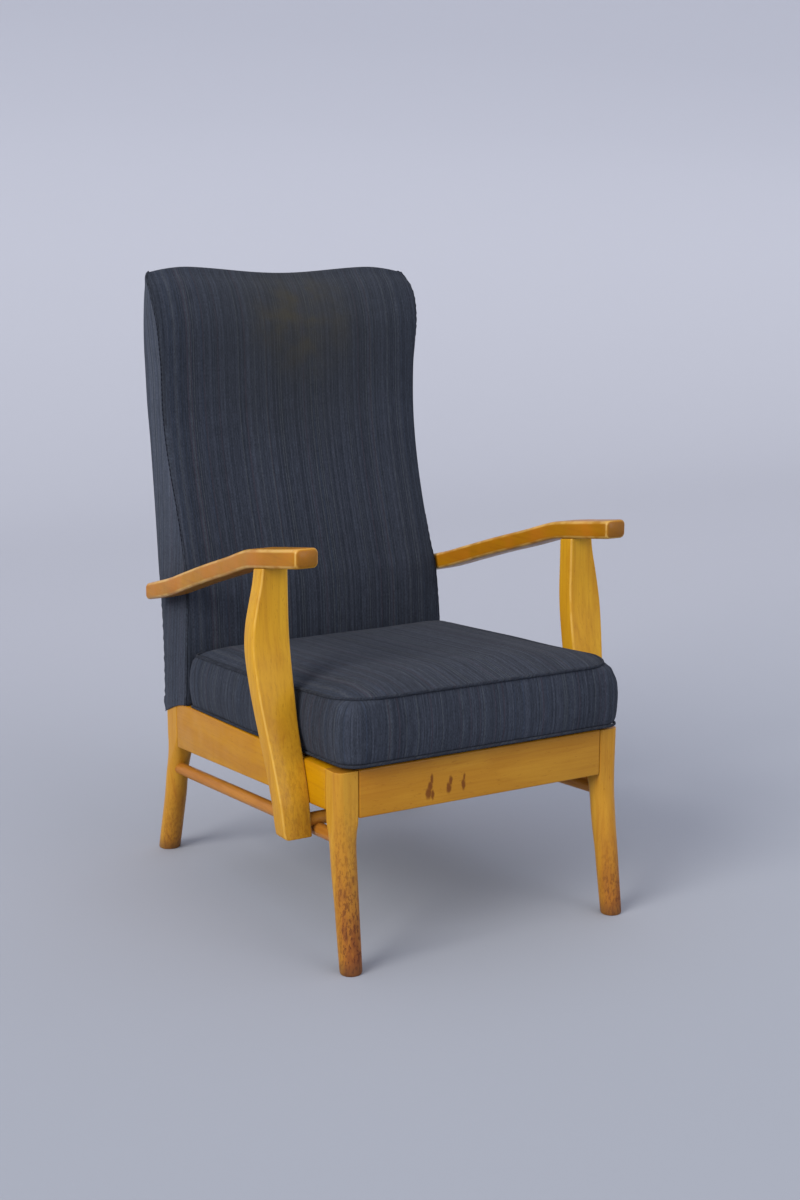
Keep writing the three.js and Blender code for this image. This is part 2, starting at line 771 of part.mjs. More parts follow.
// One bolt holds the rear end of each arm to its stile.
const armBoltDepthShare = 0.5;
const armBoltInset = 17;
const armBoltSetback = armSetback + armLength - armBoltInset;
const armBolt = (side, grow) => boltSolid(
  side, stileInner - fitGap, armInnerHalf + armFrontWidth * armBoltDepthShare,
  armBoltSetback, armMiddleAt(armBoltSetback), grow,
);

function addBackFrame() {
  const middleLow = backHeight * middleRailShare;
  const topHigh = backHeight * stileTopShare;
  const rails = {
    back_frame_bottom_rail: railBetweenStiles(fitGap, fitGap + backBottomRailHeight),
    back_frame_middle_rail: railBetweenStiles(middleLow, middleLow + backMiddleRailHeight),
    back_frame_top_rail: railBetweenStiles(topHigh - backTopRailHeight, topHigh),
  };
  sides.forEach(([word, side]) => {
    let stile = boardAcross(stileProfile(), side * stileInner, side * stileOuter);
    Object.values(rails).forEach((rail) => { stile = stile.subtract(rail.mortises); });
    tongueBolts.forEach((place, i) => {
      stile = stile.subtract(tongueBolt(side, place, fitGap));
      addPiece(`back_frame_bolt_${word}_${i + 1}`, tongueBolt(side, place, 0), 'steel');
    });
    addPiece(`back_frame_stile_${word}`, stile.subtract(armBolt(side, fitGap)), 'hiddenBeech');
    addPiece(`armrest_bolt_${word}`, armBolt(side, 0), 'steel');
    addPiece(`armrest_${word}`, armSolid(side, 0).subtract(armBolt(side, fitGap)), 'armBeech');
  });
  Object.entries(rails).forEach(([name, rail]) => addPiece(name, rail.solid, 'hiddenBeech'));
}

// A rail of the back frame that follows the stiles' rear edges, with a stub tenon at each end.
function railBetweenStiles(low, high) {
  const rearAt = (height) => backRearAt(height / backHeight) - stileRearInset - backRailSetIn;
  const profile = (thickness, shoulder) => [
    [rearAt(low + shoulder), backBase + low + shoulder],
    [rearAt(high - shoulder), backBase + high - shoulder],
    [rearAt(high - shoulder) - thickness, backBase + high - shoulder],
    [rearAt(low + shoulder) - thickness, backBase + low + shoulder],
  ];
  const depthAtTop = rearAt(high) - stileFrontAt(high / backHeight);
  const thickness = Math.min(backRailThickness, depthAtTop);
  const half = stileInner - fitGap;
  const tongueThickness = thickness * railTongueShare;
  const tongue = (grow) => {
    const inner = profile(tongueThickness, tenonShoulder - grow)
      .map(([y, z], i) => [y - (thickness - tongueThickness) / 2 + (i < 2 ? grow : -grow), z]);
    const reach = half + stileThickness * stubTenonShare + grow;
    return boardAcross(inner, -reach, reach);
  };
  const body = boardAcross(profile(thickness, 0), -half, half);
  return { solid: body.add(tongue(0)), mortises: tongue(fitGap) };
}

// Webbing straps follow the front edges of the stiles.
function webbingBand(share) {
  const face = (at, gap) => [stileFrontAt(at) - fitGap - gap, heightOfShare(at)];
  return [
    ...webbingLevels(share).map((at) => face(at, 0)),
    ...webbingLevels(share).reverse().map((at) => face(at, webbingSheet)),
  ];
}

function addBackUpholstery() {
  webbingShares.forEach((share, i) => {
    const half = stileOuter - webbingInset;
    addPiece(`back_webbing_strap_${i + 1}`, boardAcross(webbingBand(share), -half, half), 'webbing');
  });
  const roomAhead = webbingSheet + stuffingGap;
  const recess = [
    [tongueFront - roomAhead, backBase - cutOverrun],
    [tongueFront - roomAhead, stileBase],
    ...stileLevels.map((share) => [stileFrontAt(share) - roomAhead, heightOfShare(share)]),
    [stileFrontAt(stileTopShare) - roomAhead, heightOfShare(stileTopShare) + looseGap],
    [backSetback + 2 * backReach, heightOfShare(stileTopShare) + looseGap],
    [backSetback + 2 * backReach, backBase - cutOverrun],
  ];
  const room = boardAcross(recess, -(stileOuter + fitGap), stileOuter + fitGap);
  const innerSkin = coverCloth + fitGap;
  let stuffing = backEnvelope(innerSkin, 0, 0).subtract(room);
  const outer = backEnvelope(0, 0, 0);
  const hollow = backEnvelope(coverCloth, cutOverrun + coverCloth, openOverrun);
  let shell = outer.subtract(hollow);
  sides.forEach(([, side]) => {
    stuffing = stuffing.subtract(armBolt(side, fitGap));
    shell = shell.subtract(armBolt(side, fitGap));
  });
  addPiece('back_stuffing', stuffing, 'stuffing');
  const seamCut = (clearance) => {
    const columns = backShares.map(([share]) => [
      backWidthAt(share) - coverCloth - clearance, heightOfShare(share),
    ]);
    const last = columns[columns.length - 1];
    const outline = [[columns[0][0], backBase - cutOverrun], ...columns, [last[0], last[1] + openOverrun]];
    const ring = (y) => [
      ...outline.map(([x, z]) => new THREE.Vector3(x, y, z)),
      ...[...outline].reverse().map(([x, z]) => new THREE.Vector3(-x, y, z)),
    ];
    return toSolid(loft([ring(backSetback - backReach), ring(backSetback + 2 * backReach)]));
  };
  addPiece('back_inside_cover', shell.intersect(seamCut(fitGap)), 'cloth');
  const borders = shell.subtract(seamCut(0));
  sides.forEach(([word, side]) => {
    const half = block(side * fitGap, side * 2 * backHalfWidth, backSetback - backReach,
      backSetback + 2 * backReach, 0, 2 * backHeight);
    addPiece(`back_side_cover_${word}`, borders.intersect(half).add(skirt(side)), 'cloth');
  });
  addPiece('back_outside_cover', outsideCover(), 'cloth');
}

// The side covers are pulled down over the outsides of the rear leg heads. The skirt's lower edge has
// one knee, at a share of its length and of its drop.
const skirtKneeShares = { length: 0.6, drop: 0.3 };

function skirt(side) {
  const rear = seatDepth + backLegDepth;
  const low = seatTopAt(rear) - skirtDrop;
  const profile = [
    [rear - skirtLength, backBase + skirtOverlap], [rear - skirtLength, backBase],
    [rear - skirtLength * skirtKneeShares.length, backBase - skirtDrop * skirtKneeShares.drop], [rear, low],
    [rear, backBase + skirtOverlap],
  ];
  const inner = frameHalfWidth + fitGap;
  return boardAcross(profile, side * inner, side * (inner + coverCloth));
}

// The outside back cover closes the back of the frame, just inside the rim of the other covers.
function outsideCover() {
  return backEnvelope(0, 0, 0)
    .intersect(backEnvelope(coverCloth + outsideCoverGap, 0, openOverrun))
    .subtract(backEnvelope(coverCloth, cutOverrun, 0));
}

// Corner blocks are notched round the legs and glued to the rails. Their ends are cut to a small nose.
const blockNoseShare = 0.2;

function addCornerBlocks() {
  const nose = blockReach * blockNoseShare;
  const outlineOf = (legEdge, railFace, away) => {
    const inner = sideRailInner - fitGap;
    const leg = legInner - fitGap;
    return [
      [inner, legEdge], [inner, legEdge + away * blockReach],
      [inner - nose, legEdge + away * blockReach],
      [leg - blockReach, railFace + away * nose], [leg - blockReach, railFace],
      [leg, railFace], [leg, legEdge],
    ];
  };
  const corners = {
    front: {
      outline: outlineOf(frontLegHead + fitGap, railThickness + fitGap, 1),
      top: seatTopAt(0) - blockDrop,
    },
    back: {
      outline: outlineOf(seatDepth - fitGap, backRailFront - fitGap, -1),
      top: backBase - stileTongueLength - fitGap,
    },
  };
  Object.entries(corners).forEach(([place, { outline, top }]) => {
    const low = Math.max(top - blockHeight, sideRailBottomBack);
    sides.forEach(([word, side]) => {
      const ringAt = (z) => outline.map(([x, y]) => new THREE.Vector3(side * x, y, z));
      let blockSolid = toSolid(loft([ringAt(low), ringAt(top)]));
      postBolts.forEach((bolt) => { blockSolid = blockSolid.subtract(postBolt(side, bolt, fitGap)); });
      addPiece(`corner_block_${place}_${word}`, blockSolid, 'hiddenBeech');
    });
  });
}

// Seat springs in cloth sleeves, hooked into a punched steel angle on each side rail.
const springPitch = (backSetback - lastSpringLead - firstSpringSetback) / (springCount - 1);
const springPlaces = Array.from({ length: springCount }, (_, i) => firstSpringSetback + i * springPitch);

// The bend of a spring's hook, as shares of its wire
const hookShares = { lead: 1.5, turn: 0.1, fall: 1.2 };
const stripEdge = sideRailInner - fitGap;
const hookX = stripEdge - stripShelf / 2;

function addSprings() {
  const stripTopAt = (y) => seatTopAt(y) - springDrop - springWire / 2 - looseGap;
  sides.forEach(([word, side]) => {
    const section = (y) => {
      const top = stripTopAt(y);
      const outline = [
        [stripEdge, top], [stripEdge, top - stripSkirt], [stripEdge - stripSheet, top - stripSkirt],
        [stripEdge - stripSheet, top - stripSheet], [stripEdge - stripShelf, top - stripSheet],
        [stripEdge - stripShelf, top],
      ];
      return outline.map(([x, z]) => new THREE.Vector3(side * x, y, z));
    };
    const lastSpring = springPlaces[springCount - 1];
    let strip = toSolid(loft([section(springPlaces[0] - stripMargin), section(lastSpring + stripMargin)]));
    springPlaces.forEach((y) => {
      const punch = new THREE.CylinderGeometry(stripHole / 2, stripHole / 2, stripSkirt, punchSides);
      strip = strip.subtract(toSolid(punch.rotateX(Math.PI / 2).translate(side * hookX, y, stripTopAt(y))));
    });
    postBolts.forEach((place) => { strip = strip.subtract(postBolt(side, place, fitGap)); });
    addPiece(`spring_strip_${word}`, strip, 'steel');
  });
  springPlaces.forEach((y, i) => {
    const z = seatTopAt(y) - springDrop;
    const sleeveHalf = hookX - hookReach;
    let spring = rodAcross(-sleeveHalf, sleeveHalf, y, z, springDiameter, boltSides);
    sides.forEach(([, side]) => {
      const path = new THREE.CatmullRomCurve3([
        [sleeveHalf - springWire, z],
        [hookX - springWire * hookShares.lead, z],
        [hookX - springWire * hookShares.turn, z - springWire * hookShares.fall],
        [hookX, z - hookDrop],
      ].map(([x, height]) => new THREE.Vector3(side * x, y, height)));
      const section = new THREE.Shape(new THREE.EllipseCurve(0, 0, springWire / 2, springWire / 2)
        .getPoints(hookSides).slice(0, hookSides));
      const hook = new THREE.ExtrudeGeometry(section, { extrudePath: path, steps: hookSteps });
      spring = spring.add(toSolid(hook));
    });
    addPiece(`seat_spring_${i + 1}`, spring, 'springSleeve');
  });
}

// Seat cushion: the outline of the seat, and rings that follow it from the bottom to the crown
const cushionFront = -cushionOverhang;
const cushionBack = backSetback - backCrown - cushionBulge - looseGap;
const cushionDepth = cushionBack - cushionFront;
const cushionMiddle = (cushionFront + cushionBack) / 2;

function cushionOutline() {
  const steps = cornerSteps + 1;
  const corners = roundedRectangle(2 * cushionHalfWidth, cushionDepth, cushionCorner, steps);
  const points = [];
  corners.forEach((point, i) => {
    points.push(point);
    if ((i + 1) % (steps + 1) === 0) {
      const next = corners[(i + 1) % corners.length];
      for (let k = 1; k < cushionSideSteps; k += 1) {
        points.push(point.map((from, axis) => from + (next[axis] - from) * k / cushionSideSteps));
      }
    }
  });
  return points;
}

// Rows of inset, as shares of the half width, the seam's inset and the border's bulge, then height from
// the bottom seam to the top seam, rise of the crown, and swell below the seam.
const cushionShares = [
  [0.55, 0, 0, 0, 0, 1],
  [0.1, 0, 0, 0, 0, 1],
  [0, 1, 0, 0, 0, 0],
  [0, 0.1, 0, 0.22, 0, 0],
  [0, 0, -1, 0.5, 0, 0],
  [0, 0.1, 0, 0.8, 0, 0],
  [0, 1, 0, 1, 0, 0],
  [0.09, 0, 0, 1, 0.48, 0],
  [0.22, 0, 0, 1, 0.8, 0],
  [0.45, 0, 0, 1, 0.96, 0],
  [0.75, 0, 0, 1, 1, 0],
];
const cushionBackShare = (y) => Math.min(Math.max((y - cushionFront) / cushionDepth, 0), 1);
const cushionBottomAt = (y) => seatTopAt(y) + cushionLift
  + cushionFrontLift * (1 - cushionBackShare(y)) ** 2;
const cushionThicknessAt = (y) => cushionFrontThickness
  + (cushionBackThickness - cushionFrontThickness) * cushionBackShare(y);
const cushionNarrowing = (y) => 1 - cushionTaper / cushionHalfWidth * cushionBackShare(y) ** 2;

function cushionSolid(inset) {
  const outline = cushionOutline();
  const rings = cushionShares.map(([halfShare, seamShare, bulgeShare, height, crown, below]) => {
    const drawn = inset + cushionHalfWidth * halfShare + seamInset * seamShare + cushionBulge * bulgeShare;
    return outline.map(([u, v]) => {
      const y = cushionMiddle + v * (1 - drawn / (cushionDepth / 2));
      const x = u * (1 - drawn / cushionHalfWidth) * cushionNarrowing(y);
      const low = cushionBottomAt(y) + inset * (1 - 2 * height);
      const rise = cushionCrown * crown - cushionUnderSwell * below;
      return new THREE.Vector3(x, y, low + cushionThicknessAt(y) * height + rise);
    });
  });
  return toSolid(loft(rings));
}

function addCushion() {
  const zipMiddle = cushionBottomAt(cushionBack) + cushionBackThickness / 2;
  const zip = block(
    -zipLength / 2, zipLength / 2, cushionMiddle, cushionBack + openOverrun,
    zipMiddle - zipWidth / 2, zipMiddle + zipWidth / 2,
  );
  const cover = cushionSolid(0).subtract(cushionSolid(cushionCloth)).subtract(zip);
  addPiece('seat_cushion_cover', cover, 'cloth');
  addPiece('seat_cushion_core', cushionSolid(cushionCloth + coreSlack), 'stuffing');
  [['bottom', 0], ['top', 1]].forEach(([word, level]) => {
    const outline = cushionOutline();
    const middle = (u, v) => {
      const inset = seamInset - pipingDiameter / 2 - looseGap;
      const y = cushionMiddle + v * (1 - inset / (cushionDepth / 2));
      const x = u * (1 - inset / cushionHalfWidth) * cushionNarrowing(y);
      return new THREE.Vector3(x, y, cushionBottomAt(y) + cushionThicknessAt(y) * level);
    };
    const path = outline.map(([u, v]) => middle(u, v));
    const rings = path.map((point, i) => {
      const before = path[(i + path.length - 1) % path.length];
      const after = path[(i + 1) % path.length];
      const along = new THREE.Vector3().subVectors(after, before).normalize();
      const out = new THREE.Vector3().crossVectors(along, new THREE.Vector3(0, 0, 1)).normalize();
      const up = new THREE.Vector3().crossVectors(out, along);
      return Array.from({ length: hookSides + 1 }, (_, k) => {
        const angle = k * 2 * Math.PI / (hookSides + 1);
        return point.clone()
          .addScaledVector(out, Math.cos(angle) * pipingDiameter / 2)
          .addScaledVector(up, Math.sin(angle) * pipingDiameter / 2);
      });
    });
    addPiece(`seat_cushion_piping_${word}`, loft(rings, true), 'piping');
  });
}

addLegs();
addSeatRails();
addStretchers();
addCornerBlocks();
addArmPosts();
addBackFrame();
addBackUpholstery();
addSprings();
addCushion();

const footprint = new THREE.Box3().setFromObject(chair);
chair.position.y = -(footprint.min.y + footprint.max.y) / 2;
chair.updateMatrixWorld(true);

export default chair;
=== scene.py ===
"""Fireside chair: the looks of a varnished beech chair with a striped upholstered back and a loose cushion.

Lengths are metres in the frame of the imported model: +Z up, the chair faces -Y, the floor is at Z 0. Each
sub-assembly is a class that holds its sizes and makes its own pieces. Places that several sub-assemblies
share are counted back from the front face of the front seat rail, as a joiner would measure them. A span in
a finish lists where a number starts and ends, and the share that it gives at each end.
"""
import logging
import math
from collections.abc import Callable, Iterable
from dataclasses import dataclass, field, replace
from enum import Enum

import bmesh
import bpy
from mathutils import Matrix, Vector, noise


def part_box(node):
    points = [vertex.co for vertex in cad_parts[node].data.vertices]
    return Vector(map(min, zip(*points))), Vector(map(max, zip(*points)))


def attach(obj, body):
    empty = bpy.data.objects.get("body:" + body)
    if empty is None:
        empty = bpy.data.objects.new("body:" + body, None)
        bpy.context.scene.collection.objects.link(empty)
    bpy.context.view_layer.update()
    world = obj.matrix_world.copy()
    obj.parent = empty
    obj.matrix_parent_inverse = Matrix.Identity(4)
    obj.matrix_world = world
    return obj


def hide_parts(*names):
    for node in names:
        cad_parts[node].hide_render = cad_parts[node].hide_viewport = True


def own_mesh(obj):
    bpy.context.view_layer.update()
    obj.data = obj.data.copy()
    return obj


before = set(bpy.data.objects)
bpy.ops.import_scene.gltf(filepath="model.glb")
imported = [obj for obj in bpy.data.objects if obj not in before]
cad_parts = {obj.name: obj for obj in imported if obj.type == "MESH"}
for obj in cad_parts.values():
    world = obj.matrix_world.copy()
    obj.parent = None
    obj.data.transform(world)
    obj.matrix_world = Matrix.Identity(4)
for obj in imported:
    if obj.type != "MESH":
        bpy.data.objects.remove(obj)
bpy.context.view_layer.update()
log = logging.getLogger("fireside_chair")

Colour = tuple[float, float, float, float]
Place = Callable[[int, int], Vector]
Point = tuple[float, float]
Socket = bpy.types.NodeSocket
Span = tuple[float, float, float, float]
Tone = tuple[tuple[float, float], tuple[float, float]]
SIDES = (("left", -1), ("right", 1))
RAIL_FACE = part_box("front_seat_rail")[0].y
FRAME_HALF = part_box("side_seat_rail_right")[1].x
FIT = 0.0003
MERGE = 1e-6
SHARP_ANGLE = math.radians(42)
FULLEST_ROUND = 0.98
ROUND_STEPS = 3
CIRCULAR = 0.5
SEAM = "Seam"
EDGE = "Edge"
CLOTH_MAP = "Cloth"
MIX_COLOURS = (6, 7)
MIX_RESULT = 2


def colour(red: int, green: int, blue: int) -> Colour:
    """Turns a screen colour into the linear one that shaders take.

    Args:
        red: Red from 0 to 255.
        green: Green from 0 to 255.
        blue: Blue from 0 to 255.

    Returns:
        The linear colour, with full alpha.
    """
    shares = (red / 255, green / 255, blue / 255)
    linear = [s / 12.92 if s <= 0.04045 else ((s + 0.055) / 1.055) ** 2.4 for s in shares]
    return (*linear, 1.0)


def grey(level: float) -> Colour:
    """Gives the neutral colour of a brightness."""
    return (level, level, level, 1)


class Rows:
    """A table of shares whose first column rises, read smoothly between its rows."""

    def __init__(self, *rows: tuple[float, ...]) -> None:
        """Keeps the rows."""
        self.rows = rows

    def at(self, share: float, column: int = 1) -> float:
        """Reads a column between two rows.

        Args:
            share: Place in the first column.
            column: The column to read.

        Returns:
            The smooth value there.
        """
        rows = self.rows
        last = len(rows) - 1
        at = min(max(share, rows[0][0]), rows[last][0])
        row = 0
        while row < last - 1 and at > rows[row + 1][0]:
            row += 1

        def slope(index: int) -> float:
            before, after = rows[max(index - 1, 0)], rows[min(index + 1, last)]
            return (after[column] - before[column]) / (after[0] - before[0])

        span = rows[row + 1][0] - rows[row][0]
        t = (at - rows[row][0]) / span
        start, end = rows[row][column], rows[row + 1][column]
        bend = t * (1 - t) * span * ((1 - t) * slope(row) - t * slope(row + 1))
        return start + (end - start) * t * t * (3 - 2 * t) + bend


def rounded_outline(width: float, depth: float, radii: Iterable[float], steps: int) -> list[Point]:
    """Draws a rectangle with rounded corners about its own middle.

    Args:
        width: Size across.
        depth: Size along.
        radii: The four corner radii, anticlockwise from the right rear.
        steps: Steps round each corner.

    Returns:
        The points, anticlockwise.
    """
    points = []
    for corner, ((u, v), radius) in enumerate(zip(((1, 1), (-1, 1), (-1, -1), (1, -1)), radii)):
        round_ = min(radius, FULLEST_ROUND * min(width, depth) / 2)
        for k in range(steps + 1):
            angle = (corner + k / steps) * math.pi / 2
            points.append((
                u * (width / 2 - round_) + round_ * math.cos(angle),
                v * (depth / 2 - round_) + round_ * math.sin(angle),
            ))
    return points


def finish_mesh(bm: bmesh.types.BMesh, name: str, outward: Vector | None = None) -> bpy.types.Object:
    """Turns a bmesh into a smooth piece whose faces point outwards.

    Args:
        bm: The modelled bmesh, which is freed.
        name: The piece's name.
        outward: Which way an open sheet faces, or None for a closed form.

    Returns:
        The piece, at the origin.
    """
    bmesh.ops.recalc_face_normals(bm, faces=bm.faces)
    if outward is not None and sum(f.normal.dot(outward) * f.calc_area() for f in bm.faces) < 0:
        bmesh.ops.reverse_faces(bm, faces=bm.faces)
    mesh = bpy.data.meshes.new(name)
    bm.to_mesh(mesh)
    bm.free()
    for polygon in mesh.polygons:
        polygon.use_smooth = True
    mesh.set_sharp_from_angle(angle=SHARP_ANGLE)
    piece = bpy.data.objects.new(name, mesh)
    bpy.context.scene.collection.objects.link(piece)
    return piece


def skin(
    name: str,
    rows: int,
    columns: int,
    place: Place,
    uv: Callable[[int, int], Point] | None = None,
    closed: bool = True,
    cap_round: float = 0.0,
    outward: Vector | None = None,
    mark: Callable[[int, int], float] | None = None,
    marked: str = SEAM,
) -> bpy.types.Object:
    """Lays a grid of faces over a form.

    Args:
        name: The piece's name.
        rows: Faces along the form.
        columns: Faces round or across it.
        place: Gives the point for a row and column.
        uv: Gives the cloth's own place for a row and column, in metres.
        closed: Whether the last column meets the first, and the two ends are closed.
        cap_round: How far the rims of the closed ends are rounded over.
        outward: Which way an open sheet faces.
        mark: Gives how near a row and column lie to a seam or an edge, from 0 to 1.
        marked: The name that this is kept under.

    Returns:
        The piece.
    """
    bm = bmesh.new()
    bmesh.ops.create_grid(bm, x_segments=columns, y_segments=rows, size=1)
    nearness = bm.verts.layers.float.new(marked) if mark is not None else None
    spots = {
        v: (round((v.co.y + 1) / 2 * rows), round((v.co.x + 1) / 2 * columns)) for v in bm.verts
    }
    if uv is not None:
        layer = bm.loops.layers.uv.new(CLOTH_MAP)
        for face in bm.faces:
            for loop in face.loops:
                loop[layer].uv = uv(*spots[loop.vert])
    if mark is not None:
        for vert, spot in spots.items():
            vert[nearness] = mark(*spot)
    for vert, (row, column) in spots.items():
        vert.co = place(row, column)
    if closed:
        bmesh.ops.remove_doubles(bm, verts=bm.verts, dist=MERGE)
        rims = [e for e in bm.edges if e.is_boundary]
        caps = bmesh.ops.holes_fill(bm, edges=rims, sides=0)["faces"]
        if cap_round:
            edges = list({e for f in caps for e in f.edges})
            bmesh.ops.bevel(
                bm, geom=edges, offset=cap_round, segments=ROUND_STEPS, profile=CIRCULAR, affect="EDGES",
                material=-1, clamp_overlap=True,
            )
    return finish_mesh(bm, name, outward)


def board(name: str, corners: Iterable[Vector], edge_round: float) -> bpy.types.Object:
    """Makes a straight board from the eight corners of a cube, with its edges rounded.

    Args:
        name: The piece's name.
        corners: Eight corners, ordered by x, then y, then z.
        edge_round: Radius of the edges.

    Returns:
        The board.
    """
    bm = bmesh.new()
    bmesh.ops.create_cube(bm, size=1)
    ordered = sorted(bm.verts, key=lambda v: (round(v.co.x), round(v.co.y), round(v.co.z)))
    for vert, corner in zip(ordered, corners):
        vert.co = corner
    bmesh.ops.bevel(
        bm, geom=list(bm.edges), offset=edge_round, segments=ROUND_STEPS, profile=CIRCULAR, affect="EDGES",
        material=-1,
    )
    return finish_mesh(bm, name)


def dress(piece: bpy.types.Object, material: bpy.types.Material) -> None:
    """Gives a piece one material in place of any it has."""
    piece.data.materials.clear()
    piece.data.materials.append(material)


def carry(piece: bpy.types.Object, body: str, slot: str, *nodes: str) -> None:
    """Sets what a piece rides on, and hides the nodes that it stands for.

    Args:
        piece: The finished piece.
        body: The body that it moves with.
        slot: Not used.
        nodes: The nodes that it replaces.
    """
    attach(piece, body)
    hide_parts(*nodes)
    log.info("%s stands for %s", piece.name, ", ".join(nodes))


def apply_modifiers(piece: bpy.types.Object) -> None:
    """Makes a piece's modifiers part of its mesh."""
    graph = bpy.context.evaluated_depsgraph_get()
    made = bpy.data.meshes.new_from_object(piece.evaluated_get(graph), depsgraph=graph)
    piece.modifiers.clear()
    piece.data = made


@dataclass(frozen=True)
class Layer:
    """One noise in a finish: how fine it is, how it is drawn out, and the span that makes it a share."""

    scale: float
    detail: float = 2.0
    span: Span = (0.0, 1.0, 0.0, 1.0)
    squeeze: float = 1.0
    roughness: float = 0.5
    distortion: float = 0.0


class Recipe:
    """A material that is put together node by node."""

    def __init__(self, name: str) -> None:
        """Starts a material with a plain shader."""
        self.material = bpy.data.materials.new(name)
        self.material.use_nodes = True
        self.tree = self.material.node_tree
        self.surface = self.tree.nodes["Principled BSDF"]

    def feed(self, socket: Socket, value: object) -> None:
        """Links a socket to another, or sets its value."""
        if isinstance(value, Socket):
            self.tree.links.new(value, socket)
        else:
            socket.default_value = value

    def finish(self, **values: object) -> bpy.types.Material:
        """Sets the shader's inputs, named with underscores for spaces, and gives the material."""
        for key, value in values.items():
            self.feed(self.surface.inputs[key.replace("_", " ")], value)
        return self.material

    def add(self, kind: str, inputs: dict[str | int, object], **settings: object) -> bpy.types.Node:
        """Adds a node.

        Args:
            kind: The node's kind, without the word that every shader node starts with.
            inputs: What goes into its sockets.
            settings: The node's own settings.

        Returns:
            The node.
        """
        node = self.tree.nodes.new("ShaderNode" + kind)
        for key, value in settings.items():
            setattr(node, key, value)
        for key, value in inputs.items():
            self.feed(node.inputs[key], value)
        return node

    def reckon(self, operation: str, first: object, second: object = 0.0) -> Socket:
        """Works out one number from two."""
        return self.add("Math", {0: first, 1: second}, operation=operation).outputs[0]

    def times(self, first: object, second: object) -> Socket:
        """Multiplies two numbers."""
        return self.reckon("MULTIPLY", first, second)

    def plus(self, first: object, second: object) -> Socket:
        """Adds two numbers."""
        return self.reckon("ADD", first, second)

    def wave(self, value: object, pitch: float) -> Socket:
        """Gives a sine wave of a pitch."""
        return self.reckon("SINE", self.times(value, math.tau / pitch))

    def vector(self, operation: str, first: object, second: object = (0, 0, 0)) -> Socket:
        """Works out a vector from two."""
        return self.add("VectorMath", {0: first, 1: second}, operation=operation).outputs[0]

    def measure(self, operation: str, first: object, second: object = (0, 0, 0)) -> Socket:
        """Works out a number from two vectors."""
        return self.add("VectorMath", {0: first, 1: second}, operation=operation).outputs["Value"]

    def split(self, vector: object) -> list[Socket]:
        """Splits a vector into its three numbers."""
        return list(self.add("SeparateXYZ", {0: vector}).outputs)

    def mix(self, share: object, first: object, second: object, way: str = "MIX") -> Socket:
        """Mixes two colours by a share."""
        sockets = {0: share, MIX_COLOURS[0]: first, MIX_COLOURS[1]: second}
        return self.add("Mix", sockets, data_type="RGBA", blend_type=way).outputs[MIX_RESULT]

    def ramp(self, value: object, stops: Iterable[tuple[float, Colour]], way: str = "LINEAR") -> Socket:
        """Turns a number into a colour through a ramp.

        Args:
            value: The number.
            stops: Places and colours, from low to high.
            way: How the ramp runs between its stops.

        Returns:
            The colour.
        """
        node = self.add("ValToRGB", {0: value})
        band = node.color_ramp
        band.interpolation = way
        listed = list(stops)
        while len(band.elements) < len(listed):
            band.elements.new(1.0)
        for element, (place, shade) in zip(band.elements, listed):
            element.position = place
            element.color = shade
        return node.outputs[0]

    def vary(self, body: object, value: object, tone: Tone, lightness: float = 1.0) -> Socket:
        """Darkens and lightens a colour by a number.

        Args:
            body: The colour.
            value: The number.
            tone: Two places of the number, each with the brightness there.
            lightness: What both brightnesses are multiplied by.

        Returns:
            The varied colour.
        """
        factor = self.ramp(value, ((place, grey(level * lightness)) for place, level in tone))
        return self.mix(1.0, body, factor, "MULTIPLY")

    def span(self, value: object, low: float, high: float, least: float = 0.0, most: float = 1.0) -> Socket:
        """Maps a number from one span to another, smoothly and within its ends."""
        inputs = {0: value, 1: low, 2: high, 3: least, 4: most}
        return self.add("MapRange", inputs, interpolation_type="SMOOTHSTEP").outputs[0]

    def noise(self, layer: Layer, place: object) -> Socket:
        """Adds a layer's noise and gives its value."""
        inputs = {
            "Vector": place, "Scale": layer.scale, "Detail": layer.detail, "Roughness": layer.roughness,
            "Distortion": layer.distortion,
        }
        return self.add("TexNoise", inputs).outputs["Fac"]

    def share(self, layer: Layer, place: object) -> Socket:
        """Adds a layer's noise and gives the share that its span makes of it."""
        return self.span(self.noise(layer, place), *layer.span)

    def relief(self, height: object, distance: float, strength: float = 1.0, under: object = None) -> Socket:
        """Turns a height into a normal, on top of another relief if one is given."""
        inputs = {"Height": height, "Distance": distance, "Strength": strength}
        if under is not None:
            inputs["Normal"] = under
        return self.add("Bump", inputs).outputs[0]

    def mapped(self, vector: object, **changes: object) -> Socket:
        """Moves, turns or scales a place."""
        return self.add("Mapping", {"Vector": vector, **changes}).outputs[0]

    def object_place(self, offset: Iterable[float] = (0, 0, 0), scale: Iterable[float] = (1, 1, 1)) -> Socket:
        """Gives the place on the object, moved and stretched."""
        origin = self.add("TexCoord", {}).outputs["Object"]
        return self.mapped(origin, Location=tuple(offset), Scale=tuple(scale))

    def facing(self) -> Socket:
        """Gives the way that the surface faces, on the object."""
        return self.add("TexCoord", {}).outputs["Normal"]

    def marked(self, name: str) -> Socket:
        """Gives a piece's own marks, such as how near an edge is."""
        return self.add("Attribute", {}, attribute_name=name).outputs["Fac"]

    def cloth_place(self) -> Socket:
        """Gives the place on the piece's own cloth map."""
        return self.add("UVMap", {}, uv_map=CLOTH_MAP).outputs[0]


class Grain(Enum):
    """Which way the fibres of a wooden piece run."""

    ACROSS = (1, 0, 0)
    ALONG = (0, 1, 0)
    UPRIGHT = (0, 0, 1)

    def squeezed(self, share: float) -> list[float]:
        """Scales for a noise that is drawn out along the fibres."""
        return [share if along else 1 for along in self.value]


class Wear(Enum):
    """What use has done to a wooden piece."""

    LIGHT = "light"
    FEET = "feet"
    HANDS = "hands"


